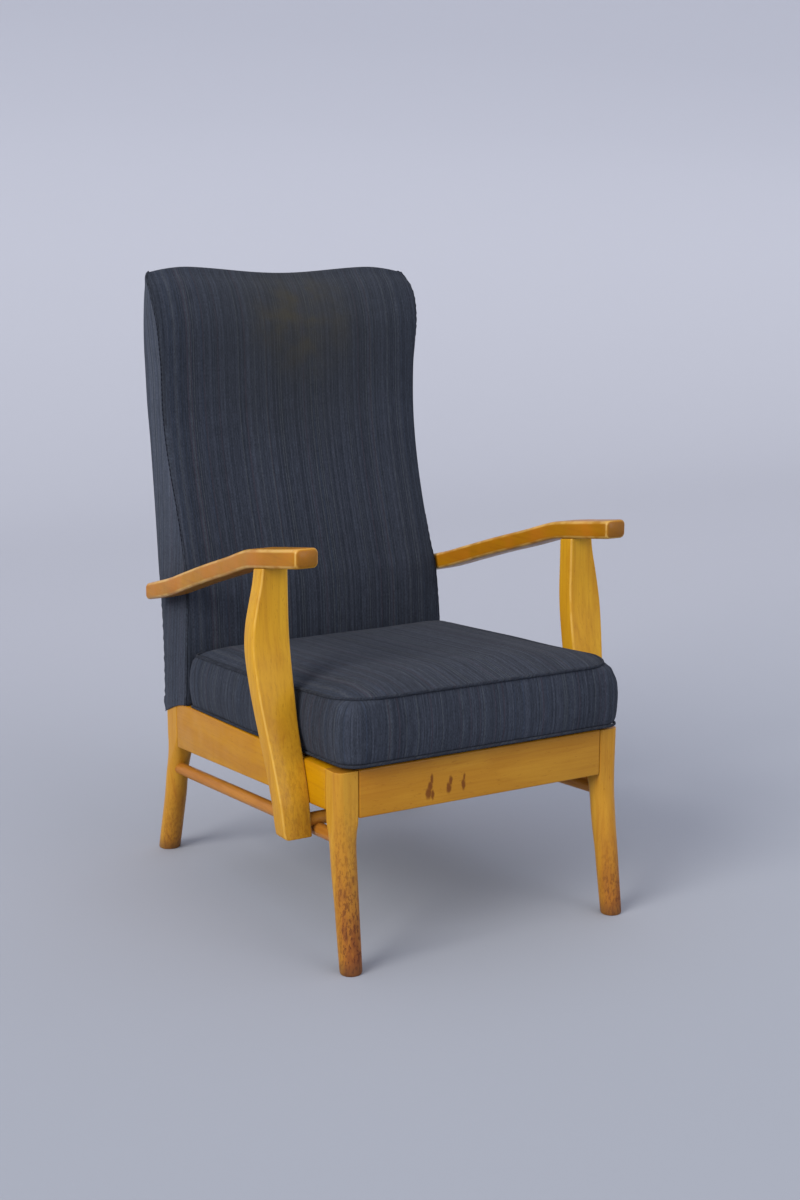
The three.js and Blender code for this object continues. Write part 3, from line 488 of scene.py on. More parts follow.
@dataclass(frozen=True)
class Beech:
    """Beech under an amber gloss varnish, or bare inside the frame."""

    name: str
    grain: Grain
    wear: Wear = Wear.LIGHT
    number: int = 0
    varnished: bool = True
    shift: tuple[float, float, float] = (0.37, 0.73, 0.51)
    pale: Colour = colour(194, 144, 45)
    amber: Colour = colour(179, 124, 35)
    brown: Colour = colour(146, 86, 16)
    fleck: Colour = colour(128, 74, 16)
    end_grain: Colour = colour(150, 92, 22)
    figure: Layer = Layer(17, 3, (0.32, 0.68, 0.0, 1.0), squeeze=0.12, roughness=0.55, distortion=0.2)
    rings: float = 44.0
    ring_span: Span = (0.2, 1.0, 0.0, 0.1)
    streaks: Layer = Layer(210, 3, (0.42, 0.78, 0.0, 0.34), squeeze=0.035, roughness=0.6)
    flecks: Layer = Layer(480, 1, (0.66, 0.75, 0.0, 0.3), squeeze=0.2)
    patches: Layer = Layer(8, 3, (0.42, 0.78, 0.0, 0.3))
    end_span: Span = (0.72, 0.95, 0.0, 0.62)
    smears: Layer = Layer(34, 4, (0.3, 0.8, 0.34, 0.5))
    specular: float = 0.13
    gloss: float = 0.16
    gloss_blur: float = 0.16
    streak_height: float = 0.00012
    streak_relief: float = 0.5
    patch_height: float = 0.0006
    patch_relief: float = 0.35
    # The pale edge colour below is a painted highlight on the rounded edges, partly rubbed varnish.
    edge_highlight_and_wear: float = 0.0
    edge_start: float = 0.35
    edge_full: float = 0.9
    rubbed_highlight: Colour = colour(236, 200, 118)
    rubbed_highlight_patches: Layer = Layer(30, 3, (0.35, 0.6, 0.25, 1.0))
    wear_height: float = 0.16
    wear_strength: float = 0.5
    wear_behind: float = 0.4
    wear_ahead: float = 1.1
    ahead_start: float = -0.05
    ahead_full: float = -0.8
    upright_share: float = 0.4
    knocked: Colour = colour(136, 74, 28)
    knocked_share: float = 0.74
    scrape: Colour = colour(112, 58, 30)
    scrapes: Layer = Layer(60, 5, (0.42, 0.62, 0.0, 1.0), roughness=0.66)
    scrape_share: float = 0.6
    scrape_dulling: float = 0.25
    scuff: Colour = colour(86, 42, 22)
    scuffs: Layer = Layer(260, 5, (0.47, 0.6, 0.0, 1.0), roughness=0.7)
    scuff_share: float = 0.85
    tip: Colour = colour(92, 60, 34)
    tip_span: Span = (0.03, 0.002, 0.0, 0.6)
    handled: Colour = colour(186, 108, 26)
    handling: Layer = Layer(16, 4, (0.35, 0.75, 0.1, 0.5))

    def material(self) -> bpy.types.Material:
        """Builds the finish.

        Returns:
            The material.
        """
        recipe = Recipe(self.name)
        offset = [self.number * shift for shift in self.shift]
        even = recipe.object_place(offset)
        figure, streaks, flecks = (
            recipe.noise(layer, recipe.object_place(offset, self.grain.squeezed(layer.squeeze)))
            for layer in (self.figure, self.streaks, self.flecks)
        )
        patches = recipe.noise(self.patches, even)
        rings = recipe.reckon("SINE", recipe.times(figure, self.rings))
        body = recipe.mix(recipe.span(figure, *self.figure.span), self.pale, self.amber)
        body = recipe.mix(recipe.span(rings, *self.ring_span), body, self.brown)
        body = recipe.mix(recipe.span(streaks, *self.streaks.span), body, self.brown)
        body = recipe.mix(recipe.span(flecks, *self.flecks.span), body, self.fleck)
        body = recipe.mix(recipe.span(patches, *self.patches.span), body, self.brown)
        end_on = recipe.reckon("ABSOLUTE", recipe.measure("DOT_PRODUCT", recipe.facing(), self.grain.value))
        body = recipe.mix(recipe.span(end_on, *self.end_span), body, self.end_grain)
        body, dull = self.used(recipe, body, even)
        # Painted highlight: paler patches along the rounded edges, partly rubbed varnish and partly light
        # caught by the edges.
        if self.edge_highlight_and_wear:
            edge = recipe.span(recipe.marked(EDGE), self.edge_start, self.edge_full, 0.0, self.edge_highlight_and_wear)
            worn = recipe.times(edge, recipe.share(self.rubbed_highlight_patches, even))
            body = recipe.mix(worn, body, self.rubbed_highlight)
        varnish = {
            "Specular_IOR_Level": self.specular, "Coat_Weight": self.gloss, "Coat_Roughness": self.gloss_blur,
        }
        fibres = recipe.relief(streaks, self.streak_height, self.streak_relief)
        return recipe.finish(
            Base_Color=body,
            Roughness=recipe.plus(recipe.share(self.smears, even), dull),
            Normal=recipe.relief(patches, self.patch_height, self.patch_relief, fibres),
            **(varnish if self.varnished else {}),
        )

    def used(self, recipe: Recipe, body: Socket, even: Socket) -> tuple[Socket, object]:
        """Adds the marks of use.

        Args:
            recipe: The material in the making.
            body: The wood's colour so far.
            even: The place on the object, unstretched.

        Returns:
            The worn colour, and how much duller the surface is.
        """
        if self.wear is Wear.FEET:
            return self.kicked(recipe, body)
        if self.wear is Wear.HANDS:
            return recipe.mix(recipe.share(self.handling, even), body, self.handled), 0.0
        return body, 0.0

    def kicked(self, recipe: Recipe, body: Socket) -> tuple[Socket, object]:
        """Adds what shoes and floors do to a leg, most of all low down and in front.

        Args:
            recipe: The material in the making.
            body: The wood's colour so far.

        Returns:
            The worn colour, and how much duller the surface is.
        """
        height = recipe.split(recipe.object_place())[2]
        low = recipe.times(recipe.span(height, self.wear_height, 0.0), self.wear_strength)
        ahead = recipe.split(recipe.facing())[1]
        ahead = recipe.span(ahead, self.ahead_start, self.ahead_full, self.wear_behind, self.wear_ahead)
        low = recipe.times(low, ahead)
        upright = recipe.object_place((3, 1, self.number), (1, 1, self.upright_share))
        body = recipe.mix(recipe.times(low, self.knocked_share), body, self.knocked)
        scraped = recipe.times(recipe.share(self.scrapes, upright), low)
        body = recipe.mix(recipe.times(scraped, self.scrape_share), body, self.scrape)
        scuffed = recipe.times(recipe.share(self.scuffs, upright), low)
        body = recipe.mix(recipe.times(scuffed, self.scuff_share), body, self.scuff)
        body = recipe.mix(recipe.span(height, *self.tip_span), body, self.tip)
        return body, recipe.times(scraped, self.scrape_dulling)


@dataclass(frozen=True)
class RailMarks(Beech):
    """The front rail's wood, a little browner, with short brown marks where the varnish has gone.

    Each mark lists its place across and its height, then half its width and half its height.
    """

    pale: Colour = colour(181, 129, 36)
    amber: Colour = colour(167, 112, 25)
    stain: Colour = colour(100, 48, 12)
    stain_share: float = 0.84
    mark_span: tuple[float, float] = (1.15, 0.45)
    ragged: Layer = Layer(130.0, 3.0)
    ragged_by: float = 0.006
    marks: tuple[tuple[float, float, float, float], ...] = (
        (-0.0945, 0.2715, 0.0034, 0.01),
        (-0.0975, 0.261, 0.005, 0.009),
        (-0.1, 0.2505, 0.0062, 0.011),
        (-0.093, 0.2475, 0.003, 0.009),
        (-0.061, 0.2645, 0.0036, 0.009),
        (-0.0645, 0.2545, 0.0052, 0.0105),
        (-0.0365, 0.2665, 0.0026, 0.007),
        (-0.038, 0.2555, 0.0042, 0.0115),
    )

    def used(self, recipe: Recipe, body: Socket, even: Socket) -> tuple[Socket, object]:
        """Adds the marks to the wood's colour.

        Args:
            recipe: The material in the making.
            body: The wood's colour so far.
            even: The place on the object, unstretched.

        Returns:
            The marked colour, and how much duller the surface is.
        """
        shaken = {"Vector": even, "Scale": self.ragged.scale, "Detail": self.ragged.detail}
        shaken = recipe.add("TexNoise", shaken).outputs["Color"]
        shaken = recipe.vector("SUBTRACT", shaken, (0.5, 0.5, 0.5))
        shaken = recipe.add("VectorMath", {0: shaken, "Scale": self.ragged_by}, operation="SCALE").outputs[0]
        place = recipe.vector("ADD", recipe.object_place(), shaken)
        stain = 0.0
        for x, z, width, height in self.marks:
            gap = recipe.vector("SUBTRACT", place, (x, RAIL_FACE, z))
            gap = recipe.measure("LENGTH", recipe.vector("MULTIPLY", gap, (1 / width, 0.0, 1 / height)))
            stain = recipe.reckon("MAXIMUM", stain, recipe.span(gap, *self.mark_span))
        return recipe.mix(recipe.times(stain, self.stain_share), body, self.stain), 0.0


@dataclass(frozen=True)
class StripedCloth:
    """Closely woven slate cloth with fine stripes in its warp, laid by the piece's own cloth map."""

    name: str
    turn: float = 0.0
    lightness: float = 1.0
    # The two fields below paint shade low down on the cloth.
    low_shade_lightness: float = 1.0
    low_shade_span: tuple[float, float] = (0.42, 0.72)
    soiled_at: Vector | None = None
    stripe_pitch: float = 0.002
    group_pitch: float = 0.013
    thread_pitch: float = 0.00125
    stitch_pitch: float = 0.0085
    group_tone: Tone = ((0.0, 0.97), (1.0, 1.035))
    yarn: Layer = Layer(1500, squeeze=0.16)
    yarn_tone: Tone = ((0.3, 0.66), (0.72, 1.36))
    slubs: Layer = Layer(400, squeeze=0.11)
    slub_tone: Tone = ((0.32, 0.84), (0.68, 1.18))
    fading: Layer = Layer(5, 3)
    fade_tone: Tone = ((0.3, 0.9), (0.7, 1.1))
    # The seam colour below is painted shade in the seams.
    seam_shade: Colour = colour(24, 26, 34)
    seam_shade_span: tuple[float, float] = (0.35, 0.95)
    stitch_span: Span = (-0.7, 0.5, 0.5, 0.95)
    roughness: float = 0.92
    specular: float = 0.04
    sheen: float = 0.03
    sheen_blur: float = 0.5
    stripe_height: float = 1.4
    yarn_height: float = 1.6
    weave_height: float = 0.00022
    weave_relief: float = 0.55
    grime: Colour = colour(52, 54, 56)
    grime_span: Span = (0.3, 0.06, 0.0, 0.4)
    soil: Colour = colour(66, 62, 50)
    soil_span: tuple[float, float] = (0.13, 0.02)
    soil_patches: Layer = Layer(26, 4, (0.35, 0.7, 0.2, 0.7))
    shades: tuple[tuple[float, Colour], ...] = (
        (0.0, colour(43, 47, 56)),
        (0.2, colour(50, 54, 64)),
        (0.38, colour(46, 50, 59)),
        (0.52, colour(54, 58, 68)),
        (0.66, colour(48, 52, 61)),
        (0.76, colour(58, 62, 69)),
        (0.83, colour(50, 55, 65)),
        (0.91, colour(52, 51, 60)),
        (0.95, colour(47, 53, 65)),
    )

    def material(self) -> bpy.types.Material:
        """Builds the cloth.

        Returns:
            The material.
        """
        recipe = Recipe(self.name)
        laid = recipe.mapped(recipe.cloth_place(), Rotation=(0, 0, self.turn))
        across, along = recipe.split(laid)[:2]
        stripes = self.cells(recipe, across, self.stripe_pitch)
        yarn, slubs = (
            recipe.noise(layer, recipe.mapped(laid, Scale=(1.0, layer.squeeze, 1.0)))
            for layer in (self.yarn, self.slubs)
        )
        body = recipe.ramp(stripes, self.shades, "CONSTANT")
        body = recipe.vary(body, self.cells(recipe, across, self.group_pitch), self.group_tone)
        body = recipe.vary(body, yarn, self.yarn_tone)
        body = recipe.vary(body, slubs, self.slub_tone)
        faded = recipe.noise(self.fading, recipe.object_place())
        body = recipe.vary(body, faded, self.fade_tone, self.lightness)
        # Painted shade: the cloth grows darker towards the bottom, for the shade under the arms.
        if self.low_shade_lightness != 1:
            height = recipe.split(recipe.object_place())[2]
            painted_low_shade = recipe.span(height, *self.low_shade_span, self.low_shade_lightness, 1.0)
            body = recipe.mix(1.0, body, painted_low_shade, "MULTIPLY")
        if self.soiled_at is not None:
            body = self.soiled(recipe, body)
        # Painted shade along the seams, as in the shade of their valleys, broken into dashes like stitches.
        seam = recipe.span(recipe.marked(SEAM), *self.seam_shade_span)
        stitches = recipe.span(recipe.wave(along, self.stitch_pitch), *self.stitch_span)
        body = recipe.mix(recipe.times(seam, stitches), body, self.seam_shade)
        threads = recipe.times(recipe.wave(across, self.thread_pitch), recipe.wave(along, self.thread_pitch))
        weave = recipe.plus(threads, recipe.times(stripes, self.stripe_height))
        weave = recipe.plus(weave, recipe.times(yarn, self.yarn_height))
        return recipe.finish(
            Base_Color=body,
            Roughness=self.roughness,
            Specular_IOR_Level=self.specular,
            Sheen_Weight=self.sheen,
            Sheen_Roughness=self.sheen_blur,
            Normal=recipe.relief(weave, self.weave_height, self.weave_relief),
        )

    @staticmethod
    def cells(recipe: Recipe, across: Socket, pitch: float) -> Socket:
        """Splits the cloth into stripes of uneven width, each with a number of its own from 0 to 1."""
        inputs = {"W": across, "Scale": 1 / pitch, "Randomness": 1.0}
        node = recipe.add("TexVoronoi", inputs, voronoi_dimensions="1D")
        return recipe.add("SeparateColor", {0: node.outputs["Color"]}).outputs[0]

    def soiled(self, recipe: Recipe, body: Socket) -> Socket:
        """Adds the brownish patch that a head has left."""
        place = recipe.object_place()
        gap = recipe.measure("DISTANCE", place, self.soiled_at)
        body = recipe.mix(recipe.span(gap, *self.grime_span), body, self.grime)
        near = recipe.times(recipe.span(gap, *self.soil_span), recipe.share(self.soil_patches, place))
        return recipe.mix(near, body, self.soil)


@dataclass(frozen=True)
class Inner:
    """A plain inner material with a fine texture of its own."""

    name: str
    dark: Colour
    light: Colour
    texture: Layer
    stretch: tuple[float, float, float] = (1.0, 1.0, 1.0)
    roughness: float = 0.85
    roughness_change: float = 0.08
    metallic: float = 0.0
    height: float = 0.0003

    def material(self) -> bpy.types.Material:
        """Builds the finish.

        Returns:
            The material.
        """
        recipe = Recipe(self.name)
        texture = recipe.noise(self.texture, recipe.object_place((0, 0, 0), self.stretch))
        smooth, rough = self.roughness - self.roughness_change, self.roughness + self.roughness_change
        return recipe.finish(
            Base_Color=recipe.ramp(texture, ((0.3, self.dark), (0.7, self.light))),
            Metallic=self.metallic,
            Roughness=recipe.span(texture, 0.2, 0.8, smooth, rough),
            Normal=recipe.relief(texture, self.height),
        )


@dataclass(frozen=True)
class Jute:
    """Jute webbing in a plain weave with darker selvedges, laid by the strap's own cloth map."""

    name: str
    thread_pitch: float = 0.0026
    selvedge_at: float = 0.0185
    selvedge_blur: float = 0.0006
    selvedge_share: float = 0.6
    dark: Colour = colour(120, 90, 50)
    light: Colour = colour(184, 150, 98)
    selvedge: Colour = colour(92, 58, 38)
    fibres: Layer = Layer(1100, 3, squeeze=0.3)
    weave_share: float = 0.22
    dark_at: float = 0.2
    light_at: float = 0.75
    height: float = 0.0004
    strength: float = 0.8
    roughness: float = 0.95
    specular: float = 0.1

    def material(self) -> bpy.types.Material:
        """Builds the webbing.

        Returns:
            The material.
        """
        recipe = Recipe(self.name)
        laid = recipe.cloth_place()
        along, across = recipe.split(laid)[:2]
        weave = recipe.times(recipe.wave(along, self.thread_pitch), recipe.wave(across, self.thread_pitch))
        fibres = recipe.noise(self.fibres, recipe.mapped(laid, Scale=(self.fibres.squeeze, 1.0, 1.0)))
        height = recipe.plus(recipe.times(weave, self.weave_share), fibres)
        body = recipe.ramp(height, ((self.dark_at, self.dark), (self.light_at, self.light)))
        edge = recipe.reckon("ABSOLUTE", across)
        line = recipe.span(edge, self.selvedge_at, self.selvedge_at + self.selvedge_blur)
        body = recipe.mix(recipe.times(line, self.selvedge_share), body, self.selvedge)
        return recipe.finish(
            Base_Color=body,
            Roughness=self.roughness,
            Specular_IOR_Level=self.specular,
            Normal=recipe.relief(height, self.height, self.strength),
        )


@dataclass(frozen=True)
class Ripple:
    """Slow unevenness: its size, and how fast it changes along each of three measures."""

    size: float
    pace: tuple[float, float, float]

    def at(self, *place: float) -> float:
        """Gives the unevenness at a place."""
        return self.size * noise.noise(Vector([part * pace for part, pace in zip(place, self.pace)]))


@dataclass
class SeatFrame:
    """Legs, seat rails and stretchers.

    A leg's rows list height, rake, width, depth, roundness and roundness of the outer front corner. Its wear
    is the height that the scuffs reach, and their strength.
    """

    rail_top: float = 0.3045
    fall: float = 0.03
    rail_thickness: float = 0.022
    side_rail_rise: float = 0.009
    edge_round: float = 0.003
    leg_head: float = 0.0365
    leg_rim: float = 0.0012
    front_rake: float = 0.0283
    back_depth: float = 0.042
    back_rake: float = 0.0605
    splay: float = 0.0025
    seat_depth: float = 0.5755
    stretcher_inset: float = 0.0155
    stretcher_diameter: float = 0.021
    stretcher_height: float = 0.2
    stretcher_fall: float = 0.067
    stretcher_sides: int = 40
    corner_steps: int = 9
    rings: int = 84
    front_wear: tuple[Point, Point] = ((0.31, 1.0), (0.16, 0.75))
    back_wear: Point = (0.16, 0.5)
    rail_finish: Beech = Beech("beech_rail", Grain.ALONG, pale=colour(188, 133, 4), amber=colour(174, 115, 2))
    bar_finish: Beech = Beech(
        "beech_stretcher", Grain.ALONG, pale=colour(182, 124, 46), amber=colour(168, 108, 36),
        brown=colour(120, 66, 22),
    )
    front_rows: Rows = field(default_factory=lambda: Rows(
        (0, 1, 0.87, 0.87, 1, 1),
        (0.01, 0.99, 0.92, 0.92, 1, 1),
        (0.197, 0.703, 0.97, 0.97, 1, 1),
        (0.335, 0.497, 1, 1, 1, 1),
        (0.493, 0.221, 1.055, 1.055, 1, 1),
        (0.624, 0.06, 1.07, 1.07, 0.95, 1),
        (0.69, 0.02, 1.055, 1.055, 0.7, 0.95),
        (0.745, 0, 1, 1, 0.2, 0.8),
        (1, 0, 1, 1, 0.16, 0.68),
    ))
    back_rows: Rows = field(default_factory=lambda: Rows(
        (0, 1, 0.99, 0.85, 1, 1),
        (0.01, 0.99, 1.03, 0.9, 1, 1),
        (0.234, 0.678, 1.041, 0.905, 1, 1),
        (0.37, 0.496, 1.041, 0.905, 1, 1),
        (0.52, 0.347, 1.041, 0.905, 1, 1),
        (0.64, 0.17, 1.03, 0.93, 0.85, 0.85),
        (0.72, 0.05, 1.01, 0.98, 0.5, 0.5),
        (0.78, 0, 1, 1, 0.2, 0.2),
        (1, 0, 1, 1, 0.16, 0.16),
    ))

    def seat_top(self, back: float) -> float:
        """Gives the height of the seat frame's top edge at a place behind the rail's face."""
        return self.rail_top - self.fall * back

    @property
    def back_leg_middle(self) -> float:
        """The middle of the back legs' heads."""
        return self.seat_depth + self.back_depth / 2

    def leg(
        self, name: str, side: int, rows: Rows, depth: float, middle: float, rake: float
    ) -> bpy.types.Object:
        """Models a leg: a square head, round and swelling below the rail, raked and a little splayed.

        Args:
            name: The piece's name.
            side: -1 for the left, 1 for the right.
            rows: The leg's rows.
            depth: The head's size from front to back.
            middle: The head's middle behind the rail's face.
            rake: How far the foot stands out, back from the head.

        Returns:
            The leg.
        """
        top = self.seat_top(middle + depth / 2)
        steps = self.corner_steps

        def place(row: int, column: int) -> Vector:
            share = row / self.rings
            width = self.leg_head * rows.at(share, 2)
            deep = depth * rows.at(share, 3)
            half = min(width, deep) / 2
            inner, outer = half * rows.at(share, 4), half * rows.at(share, 5)
            radii = (inner, inner, inner, outer) if side > 0 else (inner, inner, outer, inner)
            outline = rounded_outline(width, deep, radii, steps)
            u, v = outline[column % len(outline)]
            raked = rows.at(share, 1)
            x = FRAME_HALF - self.leg_head / 2 + self.splay * raked
            return Vector((side * x + u, RAIL_FACE + middle + rake * raked + v, top * share))

        return skin(name, self.rings, 4 * (steps + 1), place, cap_round=self.leg_rim)

    def legs(self) -> None:
        """Makes the four legs."""
        for number, ((word, side), front_wear) in enumerate(zip(SIDES, self.front_wear)):
            front = self.leg(
                f"leg_front_{word}", side, self.front_rows, self.leg_head, self.leg_head / 2,
                -self.front_rake,
            )
            back = self.leg(
                f"leg_back_{word}", side, self.back_rows, self.back_depth, self.back_leg_middle,
                self.back_rake,
            )
            for piece, node, (height, strength) in (
                (front, f"front_leg_{word}", front_wear), (back, f"back_leg_{word}", self.back_wear),
            ):
                finish = Beech(
                    f"beech_{piece.name}", Grain.UPRIGHT, Wear.FEET, number + len(piece.name),
                    wear_height=height, wear_strength=strength,
                )
                dress(piece, finish.material())
                carry(piece, "chair_frame", "beech", node)

    def rails(self) -> None:
        """Makes the front and side rails; the back rail is hidden and keeps its own shape."""
        half = FRAME_HALF - self.leg_head - FIT
        low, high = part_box("front_seat_rail")[0].z, self.rail_top
        corners = [
            Vector((x, RAIL_FACE + y, z))
            for x in (-half, half) for y in (0, self.rail_thickness) for z in (low, high)
        ]
        front = board("rail_front", corners, self.edge_round)
        dress(front, RailMarks("beech_rail_front", Grain.ACROSS, number=3).material())
        carry(front, "chair_frame", "beech", "front_seat_rail")
        for number, (word, side) in enumerate(SIDES):
            bottom = (low + self.side_rail_rise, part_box(f"side_seat_rail_{word}")[0].z)
            ends = (self.leg_head + FIT, self.seat_depth - FIT)
            across = sorted((side * FRAME_HALF, side * (FRAME_HALF - self.rail_thickness)))
            corners = [
                Vector((x, RAIL_FACE + y, z))
                for x in across for y, under in zip(ends, bottom) for z in (under, self.seat_top(y))
            ]
            rail = board(f"rail_side_{word}", corners, self.edge_round)
            finish = replace(self.rail_finish, name=f"beech_rail_side_{word}", number=number + 5)
            dress(rail, finish.material())
            carry(rail, "chair_frame", "beech", f"side_seat_rail_{word}")

    def rod(self, name: str, start: Vector, end: Vector) -> bpy.types.Object:
        """Makes a round stretcher between two points.

        Args:
            name: The piece's name.
            start: One end.
            end: The other end.

        Returns:
            The stretcher.
        """
        bm = bmesh.new()
        bmesh.ops.create_circle(
            bm, cap_ends=True, radius=self.stretcher_diameter / 2, segments=self.stretcher_sides,
        )
        run = end - start
        turn = run.to_track_quat("Z", "Y").to_matrix()
        bmesh.ops.rotate(bm, verts=bm.verts, cent=(0, 0, 0), matrix=turn)
        bmesh.ops.translate(bm, verts=bm.verts, vec=start)
        grown = bmesh.ops.extrude_face_region(bm, geom=list(bm.faces))["geom"]
        bmesh.ops.translate(bm, verts=[g for g in grown if isinstance(g, bmesh.types.BMVert)], vec=run)
        return finish_mesh(bm, name)

    def stretchers(self) -> None:
        """Makes the two side bars and the bar that joins the arm posts."""
        ends = []
        for rows, middle, rake in (
            (self.front_rows, self.leg_head / 2, -self.front_rake),
            (self.back_rows, self.back_leg_middle, self.back_rake),
        ):
            height = self.stretcher_height - self.stretcher_fall * middle
            back = middle + rake * rows.at(height / self.seat_top(middle), 1)
            ends.append((RAIL_FACE + back, self.stretcher_height - self.stretcher_fall * back))
        for number, (word, side) in enumerate(SIDES):
            start, end = (Vector((side * (FRAME_HALF - self.stretcher_inset), y, z)) for y, z in ends)
            bar = self.rod(f"stretcher_side_{word}", start, end)
            dress(bar, replace(self.bar_finish, name=f"beech_stretcher_{word}", number=number + 9).material())
            carry(bar, "chair_frame", "beech", f"side_stretcher_{word}")
        low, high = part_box("cross_stretcher")
        middle = (low + high) / 2
        start, end = (Vector((side * FRAME_HALF, middle.y, middle.z)) for _, side in SIDES)
        bar = self.rod("stretcher_cross", start, end)
        finish = replace(self.bar_finish, name="beech_stretcher_cross", grain=Grain.ACROSS, number=12)
        dress(bar, finish.material())
        carry(bar, "chair_frame", "beech", "cross_stretcher")

    def make(self) -> None:
        """Makes every piece of the seat frame."""
        self.legs()
        self.rails()
        self.stretchers()
        log.info("seat frame: 4 legs, 3 rails, 3 stretchers")


@dataclass
class Arms:
    """Arm posts planted on the side rails, and the flat arms that they carry.

    An arm's rows list its length, fall, thickness, draw inwards and swell. A post's list its height, rake and
    outward bulge.
    """

    front: float = 0.0455
    length: float = 0.576
    front_height: float = 0.614
    drop: float = 0.1388
    thickness: float = 0.031
    inner_half: float = 0.257
    draw_in: float = 0.0066
    front_width: float = 0.038
    swell: float = 0.01
    edge_round: float = 0.0072
    end_round_share: float = 0.55
    end_highlight_reach: float = 0.003
    end_bare: float = 0.001
    post_foot: float = 0.188
    post_width: float = 0.0455
    post_depth: float = 0.033
    post_bulge: float = 0.0175
    post_rake: float = 0.065
    post_back: float = 0.14
    post_lean: float = 0.0037
    lean_start: float = 0.28
    post_round: float = 0.004
    post_rim: float = 0.0015
    let_in: float = 0.47
    rings: int = 110
    corner_steps: int = 5
    arm_finish: Beech = Beech(
        "beech_arm", Grain.ALONG, Wear.HANDS, gloss=0.2, edge_highlight_and_wear=0.42, pale=colour(168, 119, 10),
        amber=colour(154, 104, 4), brown=colour(118, 68, 7), end_grain=colour(104, 66, 20),
    )
    # The posts grow darker and browner towards their lower ends, drawn with the legs' marks.
    post_finish: Beech = Beech(
        "beech_post", Grain.UPRIGHT, Wear.FEET, wear_height=0.48, wear_strength=0.42, edge_highlight_and_wear=0.26,
        pale=colour(207, 157, 36), amber=colour(192, 138, 26),
    )
    arm_rows: Rows = field(default_factory=lambda: Rows(
        (0, 0, 0.96, 0, 0),
        (0.115, 0.061, 0.95, 0, 0.7),
        (0.192, 0.101, 0.94, 0, 1),
        (0.269, 0.155, 0.95, 0.1, 0.95),
        (0.4, 0.313, 0.95, 0.3, 0.75),
        (0.559, 0.497, 0.96, 0.5, 0.5),
        (0.722, 0.699, 0.98, 0.7, 0.25),
        (0.827, 0.829, 0.98, 0.85, 0.1),
        (0.96, 0.962, 0.95, 1, 0),
        (1, 1, 0.92, 1, 0),
    ))
    post_rows: Rows = field(default_factory=lambda: Rows(
        (0, 1, -0.2),
        (0.008, 0.99, 0.02),
        (0.135, 0.87, 0.22),
        (0.265, 0.64, 0.36),
        (0.39, 0.4, 0.55),
        (0.5, 0.255, 0.8),
        (0.6, 0.14, 0.97),
        (0.68, 0.06, 1.04),
        (0.74, 0.02, 0.98),
        (0.8, 0, 0.8),
        (0.87, 0, 0.48),
        (0.94, 0, 0.14),
        (1, 0, -0.05),
    ))

    def arm_middle(self, back: float) -> float:
        """Gives the height of the arm's middle at a place behind the rail's face."""
        return self.front_height - self.drop * self.arm_rows.at((back - self.front) / self.length, 1)

    def ring_share(self, row: int) -> float:
        """Gives the share of the arm's length at a row; rows lie closer together near both ends."""
        turned = (1 - math.cos(math.pi * row / self.rings)) / 2
        return (row / self.rings + turned) / 2

    def end_fall(self, end: float) -> float:
        """Gives how far the faces draw in, at a distance from the nearer end."""
        if end > self.edge_round:
            return 0.0
        rest = max(self.edge_round ** 2 - (self.edge_round - end) ** 2, 0)
        return (self.edge_round - math.sqrt(rest)) * self.end_round_share

    def armrest(self, word: str, side: int) -> bpy.types.Object:
        """Models an arm: flat, widest over its post, swept down to the back, with softened edges.

        Args:
            word: left or right.
            side: -1 or 1.

        Returns:
            The arm.
        """
        steps = self.corner_steps

        def place(row: int, column: int) -> Vector:
            share = self.ring_share(row)
            rows = self.arm_rows
            fall = self.end_fall(min(share, 1 - share) * self.length)
            inner = self.inner_half - self.draw_in * rows.at(share, 3)
            width = self.front_width + self.swell * rows.at(share, 4)
            thick = self.thickness * rows.at(share, 2)
            back = self.front + self.length * share
            outline = rounded_outline(width - 2 * fall, thick - 2 * fall, [self.edge_round] * 4, steps)
            u, v = outline[column % len(outline)]
            return Vector((side * (inner + width / 2) + u, RAIL_FACE + back, self.arm_middle(back) + v))

        # Strength of the painted edge highlight: full on the middle of each rounded edge, and in a band near
        # each end.
        def edge(row: int, column: int) -> float:
            share = self.ring_share(row)
            end = min(share, 1 - share) * self.length
            rubbed_highlight = max(self.arc(column), 1 - abs(end - self.end_highlight_reach) / self.end_highlight_reach)
            return rubbed_highlight * min(end / self.end_bare, 1)

        return skin(f"arm_{word}", self.rings, 4 * (steps + 1), place, mark=edge, marked=EDGE)

    def arc(self, column: int) -> float:
        """Gives how near a column lies to the middle of a rounded edge, from 0 to 1."""
        return math.sin(math.pi * (column % (self.corner_steps + 1)) / self.corner_steps)

    def post(self, word: str, side: int) -> bpy.types.Object:
        """Models an arm post: raked forward at its foot, swelling outwards below the arm.

        Args:
            word: left or right.
            side: -1 or 1.

        Returns:
            The post.
        """
        steps = self.corner_steps
        inner_face = FRAME_HALF + FIT

        def place(row: int, column: int) -> Vector:
            share = row / self.rings
            rows = self.post_rows
            inner = inner_face + self.post_lean * max(share - self.lean_start, 0)
            outer = inner_face + self.post_width + self.post_bulge * rows.at(share, 2)
            outline = rounded_outline(outer - inner, self.post_depth, [self.post_round] * 4, steps)
            u, v = outline[column % len(outline)]
            back = self.post_back + self.post_depth / 2 - self.post_rake * rows.at(share, 1) + v
            top = self.arm_middle(back) - self.thickness * self.let_in
            height = self.post_foot + (top - self.post_foot) * share
            return Vector((side * (inner + outer) / 2 + u, RAIL_FACE + back, height))

        # The post's rounded edges carry the painted edge highlight.
        return skin(
            f"post_{word}", self.rings, 4 * (steps + 1), place, cap_round=self.post_rim,
            mark=lambda row, column: self.arc(column), marked=EDGE,
        )

